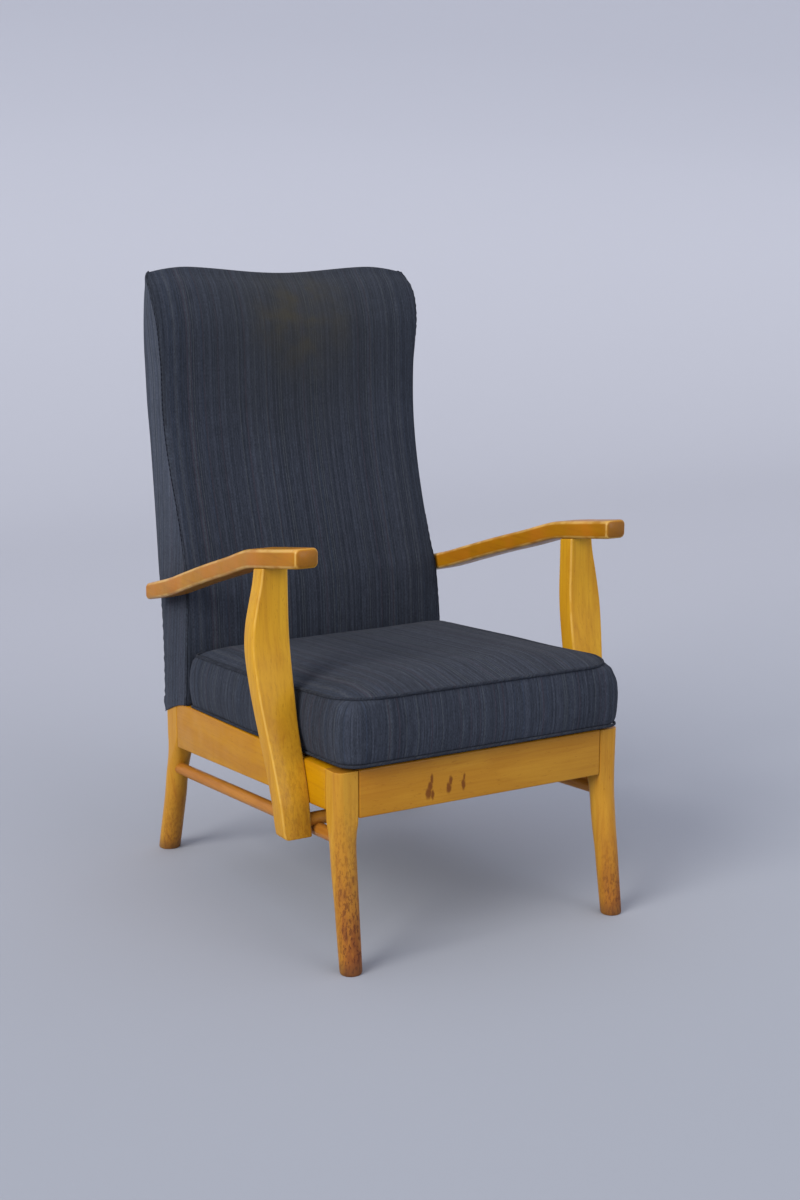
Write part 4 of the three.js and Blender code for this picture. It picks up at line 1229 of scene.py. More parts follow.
    def make(self) -> None:
        """Makes the arms and posts."""
        for number, (word, side) in enumerate(SIDES):
            arm, post = self.armrest(word, side), self.post(word, side)
            dress(arm, replace(self.arm_finish, name=f"beech_arm_{word}", number=number + 14).material())
            carry(arm, "chair_frame", "arm_beech", f"armrest_{word}")
            dress(post, replace(self.post_finish, name=f"beech_post_{word}", number=number + 17).material())
            carry(post, "chair_frame", "beech", f"arm_post_{word}")
        log.info("arms: 2 posts, 2 arms")


@dataclass
class Back:
    """The tight upholstered back, with its inside cover, side covers and outside cover.

    Its rows list the height, half width, front face and rear face.
    """

    seat: SeatFrame
    front: float = 0.5295
    reach: float = 0.171
    half_width: float = 0.2545
    height: float = 0.733
    crown: float = 0.009
    crown_power: int = 6
    top_dip: float = 0.011
    shoulder_drop: float = 0.01
    dip_power: int = 8
    corner: float = 0.006
    corner_share: float = 0.33
    rear_taper: float = 0.006
    taper_power: int = 4
    side_swell: float = 0.0015
    swell_power: int = 6
    ear: float = 0.8
    shoulder: float = 0.68
    seam_depth: float = 0.003
    seam_gap: float = 0.0012
    seam_fall: float = 0.0006
    seam_step: float = 0.001
    seam_roll: float = 0.011
    roll_middle: float = 0.62
    roll_spread: float = 0.17
    tuck_start: float = 0.7
    tuck: float = 0.009
    top_round: float = 0.0012
    top_gap: float = 0.0008
    cloth: float = 0.0018
    pucker: float = 0.0004
    pucker_pitch: float = 0.0125
    pucker_level: float = 0.6
    pucker_fade: float = 0.3
    across_steps: int = 46
    corner_steps: int = 7
    front_rows: int = 120
    top_rows: int = 10
    front_crowding: float = 0.35
    even_columns: int = 5
    skirt: Rows = field(default_factory=lambda: Rows((0, 0), (0.4, 0.3), (1, 1)))
    skirt_drop: float = 0.027
    skirt_length: float = 0.082
    skirt_rows: int = 8
    side_rows: int = 130
    depth_steps: int = 16
    turn_steps: int = 2
    side_crowding: float = 0.3
    depth_power: float = 1.7
    rear_round: float = 0.003
    rear_lap: float = 0.01
    tack_pitch: float = 0.0185
    tack_top: float = 0.52
    tack_fade: float = 0.1
    tack_side_pull: float = 0.0011
    tack_rear_pull: float = 0.0014
    tack_power: int = 4
    rear_rows: int = 90
    rear_columns: int = 44
    rear_height: float = 0.985
    rear_sag: float = 0.0022
    rear_lift: float = 0.002
    hem: float = 0.0035
    hem_steps: tuple[float, float, float] = (0.0008, 0.0019, 0.0025)
    soiled_x: float = 0.016
    soiled_share: float = 0.88
    side_cloth_shift: tuple[float, float] = (1.3, 3)
    rear_cloth_shift: float = 1.7
    inside_ripple: Ripple = Ripple(0.0011, (7, 5, 1))
    pucker_drift: Ripple = Ripple(2, (1, 22, 5))
    side_ripple: Ripple = Ripple(0.0008, (3, 9, 8))
    rear_ripple: Ripple = Ripple(0.0006, (8, 6, 9))
    rows: Rows = field(default_factory=lambda: Rows(
        (0, 1.008, 0, 0.56),
        (0.11, 0.994, 0, 0.61),
        (0.2, 0.98, 0.01, 0.68),
        (0.277, 0.967, 0.04, 0.76),
        (0.331, 0.956, 0.109, 0.82),
        (0.386, 0.951, 0.178, 0.86),
        (0.44, 0.949, 0.25, 0.89),
        (0.52, 0.952, 0.35, 0.92),
        (0.604, 0.957, 0.43, 0.95),
        (0.68, 0.963, 0.475, 0.985),
        (0.768, 0.97, 0.487, 1),
        (0.823, 0.984, 0.486, 0.975),
        (0.877, 0.998, 0.5, 0.93),
        (0.932, 1.01, 0.57, 0.875),
        (0.965, 1.008, 0.65, 0.86),
        (0.986, 1, 0.74, 0.86),
        (1, 0.985, 0.785, 0.85),
    ))

    @property
    def base(self) -> float:
        """Height of the back's lower edge."""
        return self.seat.seat_top(self.front) + FIT

    def half(self, share: float) -> float:
        """Half width at a share of the height."""
        return self.half_width * self.rows.at(share, 1)

    def ahead(self, share: float) -> float:
        """Front place at a share of the height."""
        return self.front + self.reach * self.rows.at(share, 2)

    def behind(self, share: float) -> float:
        """Rear place at a share of the height."""
        return self.front + self.reach * self.rows.at(share, 3)

    def rise(self, share: float, across: float) -> float:
        """Gives the height of a point, with the dip of the top edge.

        Args:
            share: Share of the back's height.
            across: Share of its half width.

        Returns:
            The height.
        """
        ear = math.cos(math.pi * min(abs(across) / self.ear, 1))
        shoulder = max(abs(across) - self.shoulder, 0) / (1 - self.shoulder)
        dip = self.top_dip * (1 + ear) / 2 + self.shoulder_drop * shoulder ** 2
        return self.base + self.height * share - dip * share ** self.dip_power

    def corner_at(self, share: float) -> float:
        """Radius of the front corners at a share of the height."""
        return min(self.corner, self.corner_share * (self.behind(share) - self.ahead(share)))

    def seam_at(self, share: float) -> float:
        """Place of the seam between the inside cover and the side panel, at a share of the height."""
        rolled = self.seam_roll * math.exp(-((share - self.roll_middle) / self.roll_spread) ** 2)
        return self.ahead(share) + self.corner_at(share) + self.seam_gap + rolled

    @staticmethod
    def crowded(climb: float, crowding: float) -> float:
        """Gives the height's share at a share of the rows, which lie closer together near the top."""
        return math.sin(climb * math.pi / 2) * crowding + climb * (1 - crowding)

    @staticmethod
    def run_lengths(place: Place, rows: int, column: int) -> list[float]:
        """Measures along one column of a panel.

        Args:
            place: Gives the panel's points.
            rows: The panel's rows.
            column: The column to follow.

        Returns:
            The length up to each row.
        """
        lengths = [0.0]
        for row in range(rows):
            lengths.append(lengths[-1] + (place(row + 1, column) - place(row, column)).length)
        return lengths

    def inside_section(self, share: float, inward: int) -> Point:
        """Gives a point of half the front panel's section: its seam, its rounded corner, then its face.

        Args:
            share: Share of the back's height.
            inward: Columns from the nearer seam.

        Returns:
            The place across, and behind the rail's face.
        """
        half, corner, ahead = self.half(share), self.corner_at(share), self.ahead(share)
        if inward == 0:
            return half - self.seam_depth, self.seam_at(share)
        if inward <= 2:
            step = self.seam_step * (3 * inward - 2)
            return half - self.seam_fall * (2 - inward), self.seam_at(share) - step
        if inward <= self.corner_steps + 1:
            angle = (inward - 3) / (self.corner_steps - 2) * math.pi / 2
            return half - corner + corner * math.cos(angle), ahead + corner - corner * math.sin(angle)
        return (half - corner) * (1 - (inward - 1 - self.corner_steps) / (self.across_steps / 2)), ahead

    def inside_cover(self) -> bpy.types.Object:
        """Models the front panel, which rolls over the top and turns in at its seams.

        Returns:
            The panel.
        """
        columns = self.across_steps + 2 * self.corner_steps + 2
        rows = self.front_rows + self.top_rows

        def place(row: int, column: int) -> Vector:
            share = self.crowded(min(row / self.front_rows, 1), self.front_crowding)
            inward = min(column, columns - column)
            sign = -1 if column < columns / 2 else 1
            x, back = self.inside_section(share, inward)
            across = x / self.half(share)
            back -= self.crown * (1 - across ** 2) * (1 - share ** self.crown_power)
            z = self.rise(share, across)
            if row > self.front_rows:
                turn = (row - self.front_rows) / self.top_rows
                over = min(turn / self.tuck_start, 1)
                back += (self.behind(1) - self.top_gap - back) * over
                x -= self.rear_taper * over * across
                tuck = max(turn - self.tuck_start, 0) / (1 - self.tuck_start)
                z += self.top_round * math.sin(over * math.pi) - self.tuck * tuck
                x -= self.cloth * tuck * (inward < 2)
            else:
                back += self.inside_ripple.at(x * sign, z, 1) * min(1, inward / self.even_columns)
                pucker = math.sin(z * math.tau / self.pucker_pitch + self.pucker_drift.at(sign, z, 1))
                x += self.pucker * (pucker - self.pucker_level) * (inward in (1, 2))
                x -= self.pucker_fade * self.pucker * (inward == 3)
            return Vector((sign * x, RAIL_FACE + back, z))

        lengths = self.run_lengths(place, rows, columns // 2)
        return skin(
            "cover_back_inside", rows, columns, place,
            lambda row, column: (place(row, column).x, lengths[row]),
            closed=False, outward=Vector((0, -1, 0)),
            # The turned-in edges carry the painted seam shade.
            mark=lambda row, column: float(min(column, columns - column) < 2),
        )

    def side_cover(self, word: str, side: int) -> bpy.types.Object:
        """Models a side panel, from the front seam round the rear edge, down over the rear leg's head.

        Args:
            word: left or right.
            side: -1 or 1.

        Returns:
            The panel.
        """
        rows = self.side_rows
        columns = self.depth_steps + 2 * self.turn_steps + 2
        leg_rear = self.seat.seat_depth + self.seat.back_depth + self.cloth

        def place(row: int, column: int) -> Vector:
            climb = max(row - self.skirt_rows, 0) / (rows - self.skirt_rows)
            share = self.crowded(climb, self.side_crowding)
            below = max(self.skirt_rows - row, 0) / self.skirt_rows
            half, start, rear = self.half(share), self.seam_at(share), self.behind(share)
            rear += (leg_rear - rear) * below ** 2
            taper = self.rear_taper * share ** self.taper_power
            swell = self.side_swell * (1 - share ** self.swell_power)
            inward = max(self.turn_steps - column, 0) / self.turn_steps
            outward = max(column - self.turn_steps - self.depth_steps, 0) / (self.turn_steps + 2)
            deep = min(max((column - self.turn_steps) / self.depth_steps, 0), 1) ** self.depth_power
            back = start + (1 - inward) * self.seam_gap + (rear - start - self.rear_round) * deep
            x = half + swell * 4 * deep * (1 - deep) - taper * deep ** 2 - self.seam_depth * inward ** 2
            if outward > 0:
                angle = min(outward * 2, 1) * math.pi / 2
                x -= self.rear_round * (1 - math.cos(angle)) + self.rear_lap * max(outward * 2 - 1, 0)
                back = rear - self.rear_round + self.rear_round * math.sin(angle)
            if below > 0:
                along = max(back - (leg_rear - self.skirt_length), 0) / self.skirt_length
                z = self.base - self.skirt_drop * self.skirt.at(min(along, 1)) * below
                x = max(x, FRAME_HALF + FIT + self.cloth)
            else:
                z = self.rise(share, (half - taper * deep) / half)
            fade = max(0, min(1, (self.tack_top - z) / self.tack_fade))
            tacked = abs(math.sin(math.pi * z / self.tack_pitch)) * fade * deep ** self.tack_power
            x -= self.tack_side_pull * tacked
            back -= self.tack_rear_pull * tacked * (outward == 0)
            x += self.side_ripple.at(side, back, z) * math.sin(math.pi * deep)
            return Vector((side * x, RAIL_FACE + back, z))

        lengths = self.run_lengths(place, rows, columns // 2)
        depth_shift, side_shift = self.side_cloth_shift
        return skin(
            f"cover_back_side_{word}", rows, columns, place,
            lambda row, column: (side * (place(row, column).y + depth_shift) + side_shift, lengths[row]),
            closed=False, outward=Vector((side, 0, 0)),
            # The turned-in edge carries the painted seam shade.
            mark=lambda row, column: min(1, max(0, self.turn_steps - 0.5 * column)),
        )

    def outside_cover(self) -> bpy.types.Object:
        """Models the rear panel, drawn flat between the edges of the others with a folded hem.

        Returns:
            The panel.
        """
        rows, columns = self.rear_rows, self.rear_columns

        def place(row: int, column: int) -> Vector:
            share = row / rows * self.rear_height
            half = self.half(share) - self.rear_taper * share ** self.taper_power - self.hem
            across = 2 * column / columns - 1
            edge = min(column, columns - column, row, rows - row)
            lifted = self.hem_steps[min(edge, 2)]
            x = half * across
            sag = self.rear_sag * (1 - across ** 2) * math.sin(math.pi * row / rows)
            z = self.rise(share, across)
            wave = self.rear_ripple.at(x, z, 1)
            return Vector((x, RAIL_FACE + self.behind(share) + lifted - sag + wave, z + self.rear_lift))

        lengths = self.run_lengths(place, rows, columns // 2)
        return skin(
            "cover_back_outside", rows, columns, place,
            lambda row, column: (place(row, column).x + self.rear_cloth_shift, lengths[row]),
            closed=False, outward=Vector((0, 1, 0)),
        )

    def thicken(self, piece: bpy.types.Object) -> None:
        """Gives a panel the thickness of its cloth, inwards."""
        wall = piece.modifiers.new("Cloth", "SOLIDIFY")
        wall.thickness = self.cloth
        wall.offset = -1

    def make(self) -> None:
        """Makes the back's covers."""
        share = self.soiled_share
        soiled = Vector((self.soiled_x, RAIL_FACE + self.ahead(share), self.base + self.height * share))
        inside = self.inside_cover()
        self.thicken(inside)
        dress(inside, StripedCloth("cloth_back_inside", soiled_at=soiled).material())
        carry(inside, "chair_frame", "cover_cloth", "back_inside_cover", "back_stuffing")
        for word, side in SIDES:
            panel = self.side_cover(word, side)
            self.thicken(panel)
            # Side covers: the same cloth, painted lighter for light from the left and darker low down for
            # shade.
            cloth = StripedCloth(f"cloth_back_side_{word}", lightness=1.84, low_shade_lightness=0.72)
            dress(panel, cloth.material())
            carry(panel, "chair_frame", "cover_cloth", f"back_side_cover_{word}")
        outside = self.outside_cover()
        self.thicken(outside)
        dress(outside, StripedCloth("cloth_back_outside", lightness=1.05).material())
        carry(outside, "chair_frame", "cover_cloth", "back_outside_cover")
        log.info("back: inside, side and outside covers")


@dataclass
class Cushion:
    """The loose boxed seat cushion: a blown-up cover with piping along both seams.

    Its profile lists, ring by ring from below, how far in the ring lies as a share of the half width, how
    much of the seam's inset it has, its level between the seams, and its shares of the crown and of the
    hollow under it.
    """

    seat: SeatFrame
    half_width: float = 0.2505
    front: float = -0.022
    rear: float = 0.5195
    corner: float = 0.03
    rear_share: float = 0.3
    corner_steps: int = 12
    side_steps: int = 30
    bulge: float = 0.008
    bulge_start: float = 0.15
    bulge_run: float = 0.16
    right_rise: float = 0.0055
    rise_start: float = 0.14
    rise_fade: float = 0.4
    left_sink: float = 0.0028
    settling_power: float = 1.5
    front_thickness: float = 0.0975
    back_thickness: float = 0.0885
    lift: float = 0.0035
    front_lift: float = 0.006
    seam_inset: float = 0.0095
    lower_inset: float = 0.0048
    seam_corner: float = 0.066
    crown: float = 0.016
    under: float = 0.006
    piping: float = 0.0048
    piping_inside: float = 0.0011
    piping_sides: int = 10
    voxel: float = 0.006
    frames: int = 20
    pressure: float = 4.0
    stretch_stiffness: float = 12
    bend_stiffness: float = 0.3
    quality: int = 5
    cap: float = 0.007
    pinned_within: float = 0.0045
    resting_inside: float = 0.02
    quick_swell: float = 0.004
    quick_run: float = 0.02
    squeeze: float = 0.93
    pucker: float = 0.00045
    pucker_pitch: float = 0.017
    pucker_reach: float = 0.03
    pucker_drift: Ripple = Ripple(0.004, (30, 30, 1))
    # How far from a seam the painted seam shade reaches.
    seam_shade: float = 0.007
    border_inside: float = 0.04
    border_shift: float = 5
    profile: tuple[tuple[float, float, float, float, float], ...] = (
        (0.97, 0, 0, 0, 1),
        (0.55, 0, 0, 0, 1),
        (0.16, 0, 0, 0, 1),
        (0.07, 0, 0, 0, 0.7),
        (0, 1, 0, 0, 0),
        (0, 0.45, 0.08, 0, 0),
        (0, 0.1, 0.28, 0, 0),
        (0, 0, 0.5, 0, 0),
        (0, 0.1, 0.72, 0, 0),
        (0, 0.45, 0.92, 0, 0),
        (0, 1, 1, 0, 0),
        (0.08, 0, 1, 0.5, 0),
        (0.2, 0, 1, 0.85, 0),
        (0.45, 0, 1, 0.97, 0),
        (0.7, 0, 1, 1, 0),
        (0.97, 0, 1, 1, 0),
    )

    @property
    def middle(self) -> float:
        """The cushion's middle behind the rail's face."""
        return (self.front + self.rear) / 2

    @property
    def depth(self) -> float:
        """The cushion's size from front to back."""
        return self.rear - self.front

    def back_share(self, back: float) -> float:
        """How far back a place lies, from 0 to 1."""
        return min(max((back - self.front) / self.depth, 0), 1)

    def spread(self, back: float) -> float:
        """How much wider the cushion is at a place than between the arm posts, which hold it in."""
        run = min(max((back - self.bulge_start) / self.bulge_run, 0), 1)
        return 1 + self.bulge / self.half_width * run * run * (3 - 2 * run)

    def lower_seam(self, back: float) -> float:
        """Height of the lower seam."""
        return self.seat.seat_top(back) + self.lift + self.front_lift * (1 - self.back_share(back)) ** 2

    def upper_seam(self, back: float) -> float:
        """Height of the upper seam."""
        growth = self.back_thickness - self.front_thickness
        return self.lower_seam(back) + self.front_thickness + growth * self.back_share(back)

    def outline(self, inset: float, corner: float) -> list[Point]:
        """Draws the cushion's plan, drawn in by an inset.

        Args:
            inset: How far inside the plan the line runs.
            corner: Radius of the front corners; the rear ones are sharper.

        Returns:
            Points across, and back from the rail's face.
        """
        radii = [corner * self.rear_share] * 2 + [corner] * 2
        corners = rounded_outline(2 * self.half_width, self.depth, radii, self.corner_steps)
        points = []
        for i, point in enumerate(corners):
            points.append(point)
            if (i + 1) % (self.corner_steps + 1) == 0:
                following = corners[(i + 1) % len(corners)]
                for k in range(1, self.side_steps):
                    share = k / self.side_steps
                    points.append(tuple(a + (b - a) * share for a, b in zip(point, following)))
        placed = []
        for u, v in points:
            back = self.middle + v * (1 - inset / (self.depth / 2))
            placed.append((u * (1 - inset / self.half_width) * self.spread(back), back))
        return placed

    def filling(self) -> bpy.types.Object:
        """Models the form that the cover is blown up from, ring by ring from below.

        Returns:
            The closed form.
        """
        rings = []
        for half_share, seam_share, level, crown, under in self.profile:
            inset = self.seam_inset if level >= 0.5 else self.lower_inset
            rounder = (self.seam_corner - self.corner) * max(seam_share, float(half_share > 0)) * level
            ring = self.outline(self.half_width * half_share + inset * seam_share, self.corner + rounder)
            rings.append([
                Vector((
                    x,
                    RAIL_FACE + back,
                    self.lower_seam(back) * (1 - level) + self.upper_seam(back) * level
                    + self.crown * crown - self.under * under,
                ))
                for x, back in ring
            ])
        count = len(rings[0])
        return skin("cover_cushion", len(rings) - 1, count, lambda row, column: rings[row][column % count])

    def cover(self) -> bpy.types.Object:
        """Models the cover: a filled form, remeshed, then blown up with its seams held.

        Returns:
            The cover.
        """
        piece = self.filling()
        remesh = piece.modifiers.new("Remesh", "REMESH")
        remesh.mode = "VOXEL"
        remesh.voxel_size = self.voxel
        apply_modifiers(piece)
        rest = [v.co.copy() for v in piece.data.vertices]
        seams = self.seam_distance(rest)
        self.blow(piece, seams)
        swollen = [v.co.copy() for v in piece.data.vertices]
        for vert, start, reached, gap in zip(piece.data.vertices, rest, swollen, seams):
            moved = reached - start
            share = min(1, self.cap / max(moved.length, MERGE))
            vert.co = start + moved * share + self.puckers(start, gap)
        fine = piece.modifiers.new("Fine", "SUBSURF")
        fine.levels = fine.render_levels = 1
        apply_modifiers(piece)
        self.lay_cloth(piece)
        # Nearness to the seams, which the cloth turns into painted seam shade.
        nearness = piece.data.attributes.new(SEAM, "FLOAT", "POINT")
        gaps = self.seam_distance([v.co for v in piece.data.vertices])
        nearness.data.foreach_set("value", [max(0, 1 - gap / self.seam_shade) for gap in gaps])
        for polygon in piece.data.polygons:
            polygon.use_smooth = True
        return piece

    def puckers(self, point: Vector, gap: float) -> Vector:
        """Draws the cloth in a little along the seams, as a sewn seam does.

        Args:
            point: A point of the cover.
            gap: Its distance from the nearer seam.

        Returns:
            How far the point moves.
        """
        if gap > self.pucker_reach:
            return Vector((0, 0, 0))
        back = point.y - RAIL_FACE
        run = self.around(point.x, back) + self.pucker_drift.at(point.x, point.y, 0)
        fade = math.sin(math.pi * gap / self.pucker_reach)
        wave = math.sin(run * math.tau / self.pucker_pitch) * fade
        out = Vector((point.x / self.half_width, (back - self.middle) / self.depth * 2, 1.0))
        return out.normalized() * wave * self.pucker

    def seam_distance(self, points: list[Vector]) -> list[float]:
        """Measures how far each point lies from the nearer seam.

        Args:
            points: Points of the cover.

        Returns:
            The distances.
        """
        found = []
        for point in points:
            back = point.y - RAIL_FACE
            upper = self.edge_distance(point.x, back, self.seam_corner) - self.seam_inset
            lower = self.edge_distance(point.x, back, self.corner) - self.lower_inset
            found.append(min(
                math.hypot(upper, point.z - self.upper_seam(back)),
                math.hypot(lower, point.z - self.lower_seam(back)),
            ))
        return found

    def edge_distance(self, x: float, back: float, corner: float) -> float:
        """Measures how far inside the cushion's plan a point lies.

        Args:
            x: Place across.
            back: Place behind the rail's face.
            corner: Radius of the plan's front corners.

        Returns:
            The distance, negative outside.
        """
        corner *= self.rear_share if back > self.middle else 1
        u = abs(x) / self.spread(back) - (self.half_width - corner)
        v = abs(back - self.middle) - (self.depth / 2 - corner)
        outside = math.hypot(max(u, 0), max(v, 0))
        return corner - (outside if outside > 0 else max(u, v))

    def rests(self, point: Vector) -> bool:
        """Tells whether a point of the cover lies on the springs."""
        back = point.y - RAIL_FACE
        return (
            point.z < self.lower_seam(back)
            and self.edge_distance(point.x, back, self.corner) > self.resting_inside
        )

    def blow(self, piece: bpy.types.Object, seams: list[float]) -> None:
        """Blows the cover up as cloth, with its seams held where they are sewn.

        Args:
            piece: The remeshed cover.
            seams: Each point's distance from a seam.
        """
        held = piece.vertex_groups.new(name="seams")
        for index, gap in enumerate(seams):
            if gap < self.pinned_within or self.rests(piece.data.vertices[index].co):
                held.add([index], 1.0, "REPLACE")
        cloth = piece.modifiers.new("Cloth", "CLOTH")
        settings = cloth.settings
        settings.vertex_group_mass = held.name
        settings.use_pressure = True
        settings.uniform_pressure_force = self.pressure
        settings.effector_weights.gravity = 0
        settings.tension_stiffness = self.stretch_stiffness
        settings.compression_stiffness = self.stretch_stiffness
        settings.bending_stiffness = self.bend_stiffness
        settings.quality = self.quality
        cloth.point_cache.frame_end = self.frames
        scene = bpy.context.scene
        for step in range(1, self.frames + 1):
            scene.frame_set(step)
        apply_modifiers(piece)
        scene.frame_set(1)

    def around(self, x: float, back: float) -> float:
        """Measures along the border from the middle of the rear, as the border strip was cut.

        Args:
            x: Place across.
            back: Place behind the rail's face.

        Returns:
            The length along the border.
        """
        half, deep, radius = self.half_width, self.depth / 2, self.corner
        u, v = abs(x), back - self.middle
        sign = 1 if x >= 0 else -1
        arc = radius * math.pi / 2
        if u > half - radius and abs(v) > deep - radius:
            over, up = u - (half - radius), abs(v) - (deep - radius)
            bend = math.atan2(over, up) * radius
            run = half - radius + bend
            if v < 0:
                run = half - radius + arc + 2 * (deep - radius) + arc - bend
        elif abs(v) / deep > u / half and v > 0:
            run = u
        elif abs(v) / deep > u / half:
            run = half - radius + arc + 2 * (deep - radius) + arc + half - radius - u
        else:
            run = half - radius + arc + (deep - radius - v)
        return sign * run

    def lay_cloth(self, piece: bpy.types.Object) -> None:
        """Maps the cloth: front to back on the panels, and upright on the border."""
        mesh = piece.data
        layer = mesh.uv_layers.new(name=CLOTH_MAP)
        for polygon in mesh.polygons:
            centre = polygon.center
            back = centre.y - RAIL_FACE
            edge = self.edge_distance(centre.x, back, self.corner)
            between = self.lower_seam(back) < centre.z < self.upper_seam(back)
            border = between and edge < self.border_inside
            for index in polygon.loop_indices:
                point = mesh.vertices[mesh.loops[index].vertex_index].co
                if border:
                    run = self.around(point.x, point.y - RAIL_FACE)
                    layer.data[index].uv = (run + self.border_shift, point.z)
                else:
                    layer.data[index].uv = (point.x, point.y)

    def pipe(
        self, name: str, height: Callable[[float], float], inset: float, corner: float
    ) -> bpy.types.Object:
        """Models the piping along a seam.

        Args:
            name: The piece's name.
            height: Gives the seam's height at a place behind the rail's face.
            inset: How far inside the cushion's plan the piping runs.
            corner: Radius of its corners.

        Returns:
            The piping.
        """
        line = [
            Vector((x, RAIL_FACE + back, height(back))) for x, back in self.outline(inset, corner)
        ]
        count, sides = len(line), self.piping_sides

        def place(row: int, column: int) -> Vector:
            here = line[row % count]
            run = (line[(row + 1) % count] - line[row % count - 1]).normalized()
            out = run.cross(Vector((0, 0, 1))).normalized()
            up = out.cross(run)
            angle = column / sides * math.tau
            return here + (out * math.cos(angle) + up * math.sin(angle)) * self.piping / 2

        pitch = 2 * (2 * self.half_width + self.depth) / count
        return skin(
            name, count, sides, place,
            lambda row, column: (row * pitch, column / sides * math.pi * self.piping),
        )

    def settle(self, piece: bpy.types.Object) -> None:
        """Lets the used cushion lie a little lower along its left side than along its right.

        Args:
            piece: The cover or a piping.
        """
        for vert in piece.data.vertices:
            back = vert.co.y - RAIL_FACE
            low, high = self.lower_seam(back), self.upper_seam(back)
            level = min(max((vert.co.z - low) / (high - low), 0), 1)
            share = self.back_share(back)
            rise = self.right_rise * min(share / self.rise_start, 1) ** 2 * (1 - self.rise_fade * share)
            sink = self.left_sink * math.sin(math.pi * share)
            across = vert.co.x / self.half_width
            vert.co.z += level * abs(across) ** self.settling_power * (rise if across > 0 else -sink)

    def give(self, piece: bpy.types.Object) -> None:
        """Gives a soft piece a mesh of its own."""
        self.seat.seat_top(0)
        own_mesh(piece)

    def make(self) -> None:
        """Makes the cushion."""
        cover = self.cover()
        self.settle(cover)
        dress(cover, StripedCloth("cloth_cushion", lightness=1.08).material())
        carry(cover, "seat_cushion", "cover_cloth", "seat_cushion_cover", "seat_cushion_core")
        self.give(cover)
        bias = StripedCloth("cloth_piping", turn=math.radians(45), lightness=0.8).material()
        for word, height, inset, corner in (
            ("top", self.upper_seam, self.seam_inset, self.seam_corner),
            ("bottom", self.lower_seam, self.lower_inset, self.corner),
        ):
            piping = self.pipe(f"piping_{word}", height, inset - self.piping_inside, corner)
            self.settle(piping)
            dress(piping, bias)
            carry(piping, "seat_cushion", "piping_cloth", f"seat_cushion_piping_{word}")
            self.give(piping)
        log.info("cushion: cover and piping")


@dataclass
class Workings:
    """What the covers hide: springs, strips, bolts, webbing and the bare frame of the back."""

    straps: int = 5
    strap_thickness: float = 0.0022
    strap_curl: float = 0.0005
    strap_rows: int = 96
    strap_columns: int = 8
    strap_drift: Ripple = Ripple(1, (14, 1, 9))
    bare: Beech = Beech(
        "bare_beech", Grain.UPRIGHT, varnished=False, pale=colour(206, 172, 122), amber=colour(190, 152, 100),
        brown=colour(160, 116, 70),
    )
    # The strips are painted darker than plain zinc, so where they show under the cushion they read as shade.
    zinc: Inner = Inner(
        "zinc_plate", colour(84, 86, 90), colour(126, 128, 132), Layer(240, 4), roughness=0.45, metallic=0.9,
    )
    steel: Inner = Inner(
        "bolt_steel", colour(110, 112, 116), colour(150, 152, 156), Layer(400, 4), roughness=0.35,
        metallic=1.0,
    )
    sleeve: Inner = Inner(
        "spring_sleeve", colour(48, 50, 55), colour(92, 94, 98), Layer(900, 4), (0.4, 1, 1), 0.8,
    )

    def strap(self, name: str, low: Vector, high: Vector) -> bpy.types.Object:
        """Models a webbing strap, which leans as the back does and cups a little between its edges.

        Args:
            name: The piece's name.
            low: Lowest corner of the strap's box.
            high: Highest corner of the strap's box.

        Returns:
            The strap.
        """
        rows, columns, size = self.strap_rows, self.strap_columns, high - low
        lean = size.y - self.strap_thickness

        def place(row: int, column: int) -> Vector:
            x, v = size.x * row / rows, column / columns
            wave = self.strap_curl * (math.cos(math.tau * v) + self.strap_drift.at(x, v, low.z))
            return low + Vector((x, self.strap_thickness / 2 + lean * v + wave, size.z * v))

        strap = skin(
            name, rows, columns, place,
            lambda row, column: (size.x * row / rows, size.z * (column / columns - 0.5)),
            closed=False, outward=Vector((0, 1, 0)),
        )
        wall = strap.modifiers.new("Webbing", "SOLIDIFY")
        wall.thickness = self.strap_thickness
        wall.offset = 0
        return strap

    def webbing(self) -> None:
        """Makes the straps that carry the back's stuffing."""
        jute = Jute("jute_webbing").material()
        for number in range(1, self.straps + 1):
            node = f"back_webbing_strap_{number}"
            strap = self.strap(f"webbing_{number}", *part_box(node))
            dress(strap, jute)
            carry(strap, "chair_frame", "webbing", node)
        log.info("webbing: %d straps", self.straps)

    def dress_nodes(self) -> None:
        """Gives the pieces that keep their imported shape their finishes."""
        bare = {
            grain: replace(self.bare, name=f"bare_beech_{grain.name.lower()}", grain=grain).material()
            for grain in Grain
        }
        steel = self.steel.material()
        made = {
            "spring_strip": self.zinc.material(),
            "seat_spring": self.sleeve.material(),
            "arm_post_bolt": steel,
            "armrest_bolt": steel,
            "back_frame_bolt": steel,
            "back_frame_stile": bare[Grain.UPRIGHT],
            "back_frame_bottom": bare[Grain.ACROSS],
            "back_frame_middle": bare[Grain.ACROSS],
            "back_frame_top": bare[Grain.ACROSS],
            "corner_block": bare[Grain.ALONG],
            "back_seat_rail": Beech("beech_rail_back", Grain.ACROSS, number=21).material(),
        }
        for name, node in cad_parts.items():
            for start, material in made.items():
                if name.startswith(start):
                    dress(node, material)
        log.info("workings: %d finishes", len(made))

    def make(self) -> None:
        """Makes the webbing and dresses the rest."""
        self.webbing()
        self.dress_nodes()


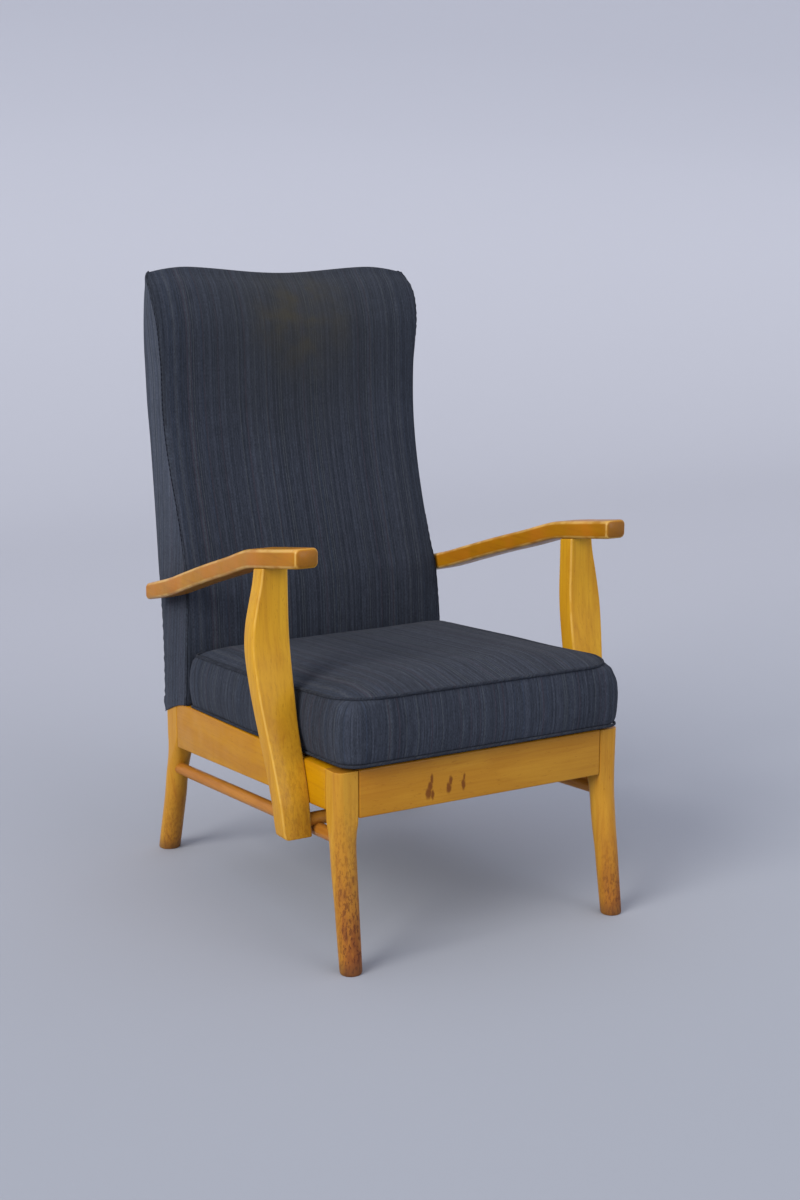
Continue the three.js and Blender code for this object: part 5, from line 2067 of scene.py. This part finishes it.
@dataclass
class Studio:
    """A pale seamless floor and backdrop, soft lights, and the camera."""

    focal_px: float = 1736.75
    picture_px: tuple[int, int] = (800, 1200)
    azimuth: float = -30.795
    pitch: float = 10.817
    eye: Vector = field(default_factory=lambda: Vector((-1.41158, -2.45421, 1.02)))
    sensor: float = 36.0
    nearest: float = 0.1
    farthest: float = 60
    floor_rows: int = 90
    floor_half: float = 30
    floor_front: float = -30.0
    floor_rear: float = 4.0
    sweep: float = 2.2
    wall_height: float = 7.0
    # The paper's colours paint light: darker near the chair, lighter far back and up the wall.
    near: Colour = colour(158, 162, 171)
    far: Colour = colour(169, 171, 180)
    wall: Colour = colour(183, 185, 194)
    far_span: tuple[float, float] = (-1.2, 2.6)
    wall_span: tuple[float, float] = (0.0, 1.8)
    paper_roughness: float = 0.9
    sky: Colour = colour(240, 243, 255)
    sky_strength: float = 0.9

    def camera(self) -> None:
        """Places the camera where the photograph was taken from."""
        data = bpy.data.cameras.new("Camera")
        data.sensor_width = self.sensor
        data.lens = self.focal_px * self.sensor / max(self.picture_px)
        data.clip_start, data.clip_end = self.nearest, self.farthest
        camera = bpy.data.objects.new("Camera", data)
        camera.location = self.eye
        camera.rotation_euler = (math.radians(90 - self.pitch), 0, math.radians(self.azimuth))
        bpy.context.scene.collection.objects.link(camera)
        bpy.context.scene.camera = camera

    def paper(self) -> bpy.types.Material:
        """Builds the floor's finish, with painted light: it pales towards the rear and up the wall."""
        recipe = Recipe("studio_paper")
        back, height = recipe.split(recipe.object_place())[1:]
        shade = recipe.mix(recipe.span(back, *self.far_span), self.near, self.far)
        shade = recipe.mix(recipe.span(height, *self.wall_span), shade, self.wall)
        return recipe.finish(Base_Color=shade, Roughness=self.paper_roughness)

    def floor(self) -> None:
        """Makes the floor, which sweeps up behind the chair."""
        bend, rear = self.sweep, self.floor_rear
        flat, arc = rear - self.floor_front, bend * math.pi / 2
        total = flat + arc + self.wall_height

        def place(row: int, column: int) -> Vector:
            run = total * row / self.floor_rows
            x = (column - 1) * self.floor_half
            if run <= flat:
                return Vector((x, self.floor_front + run, 0))
            if run <= flat + arc:
                angle = (run - flat) / bend
                return Vector((x, rear + bend * math.sin(angle), bend * (1 - math.cos(angle))))
            return Vector((x, rear + bend, bend + run - flat - arc))

        floor = skin("studio_floor", self.floor_rows, 2, place, closed=False, outward=Vector((0, 0, 1)))
        dress(floor, self.paper())

    def light(self, name: str, place: Vector, spread: float, strength: float, shade: Colour) -> None:
        """Hangs a broad soft light that falls evenly over the whole floor.

        Args:
            name: The light's name.
            place: The side that it shines from, seen from the chair.
            spread: How broad it looks from the chair, in degrees.
            strength: Its strength, in watts to the square metre.
            shade: Its colour.
        """
        data = bpy.data.lights.new(name, "SUN")
        data.angle, data.energy, data.color = math.radians(spread), strength, shade[:3]
        lamp = bpy.data.objects.new(name, data)
        lamp.location = place
        lamp.rotation_euler = (-place).to_track_quat("-Z", "Y").to_euler()
        bpy.context.scene.collection.objects.link(lamp)

    def make(self) -> None:
        """Makes the studio."""
        scene = bpy.context.scene
        scene.view_settings.view_transform = "Standard"
        world = bpy.data.worlds.new("Studio")
        scene.world = world
        world.use_nodes = True
        background = world.node_tree.nodes["Background"]
        background.inputs["Color"].default_value = self.sky
        background.inputs["Strength"].default_value = self.sky_strength
        self.camera()
        self.floor()
        self.light("Key", Vector((-6.1, -1.8, 3.6)), 33, 2.32, colour(255, 252, 246))
        self.light("Fill", Vector((2.9, -9.2, 3.8)), 36, 0.54, colour(250, 250, 255))
        log.info("studio: floor, lights, camera")


def main() -> None:
    """Builds the chair and the studio, in order."""
    logging.basicConfig(level=logging.INFO, format="%(message)s")
    seat = SeatFrame()
    for part in (seat, Arms(), Back(seat), Cushion(seat), Workings(), Studio()):
        part.make()


if __name__ == "__main__":
    main()
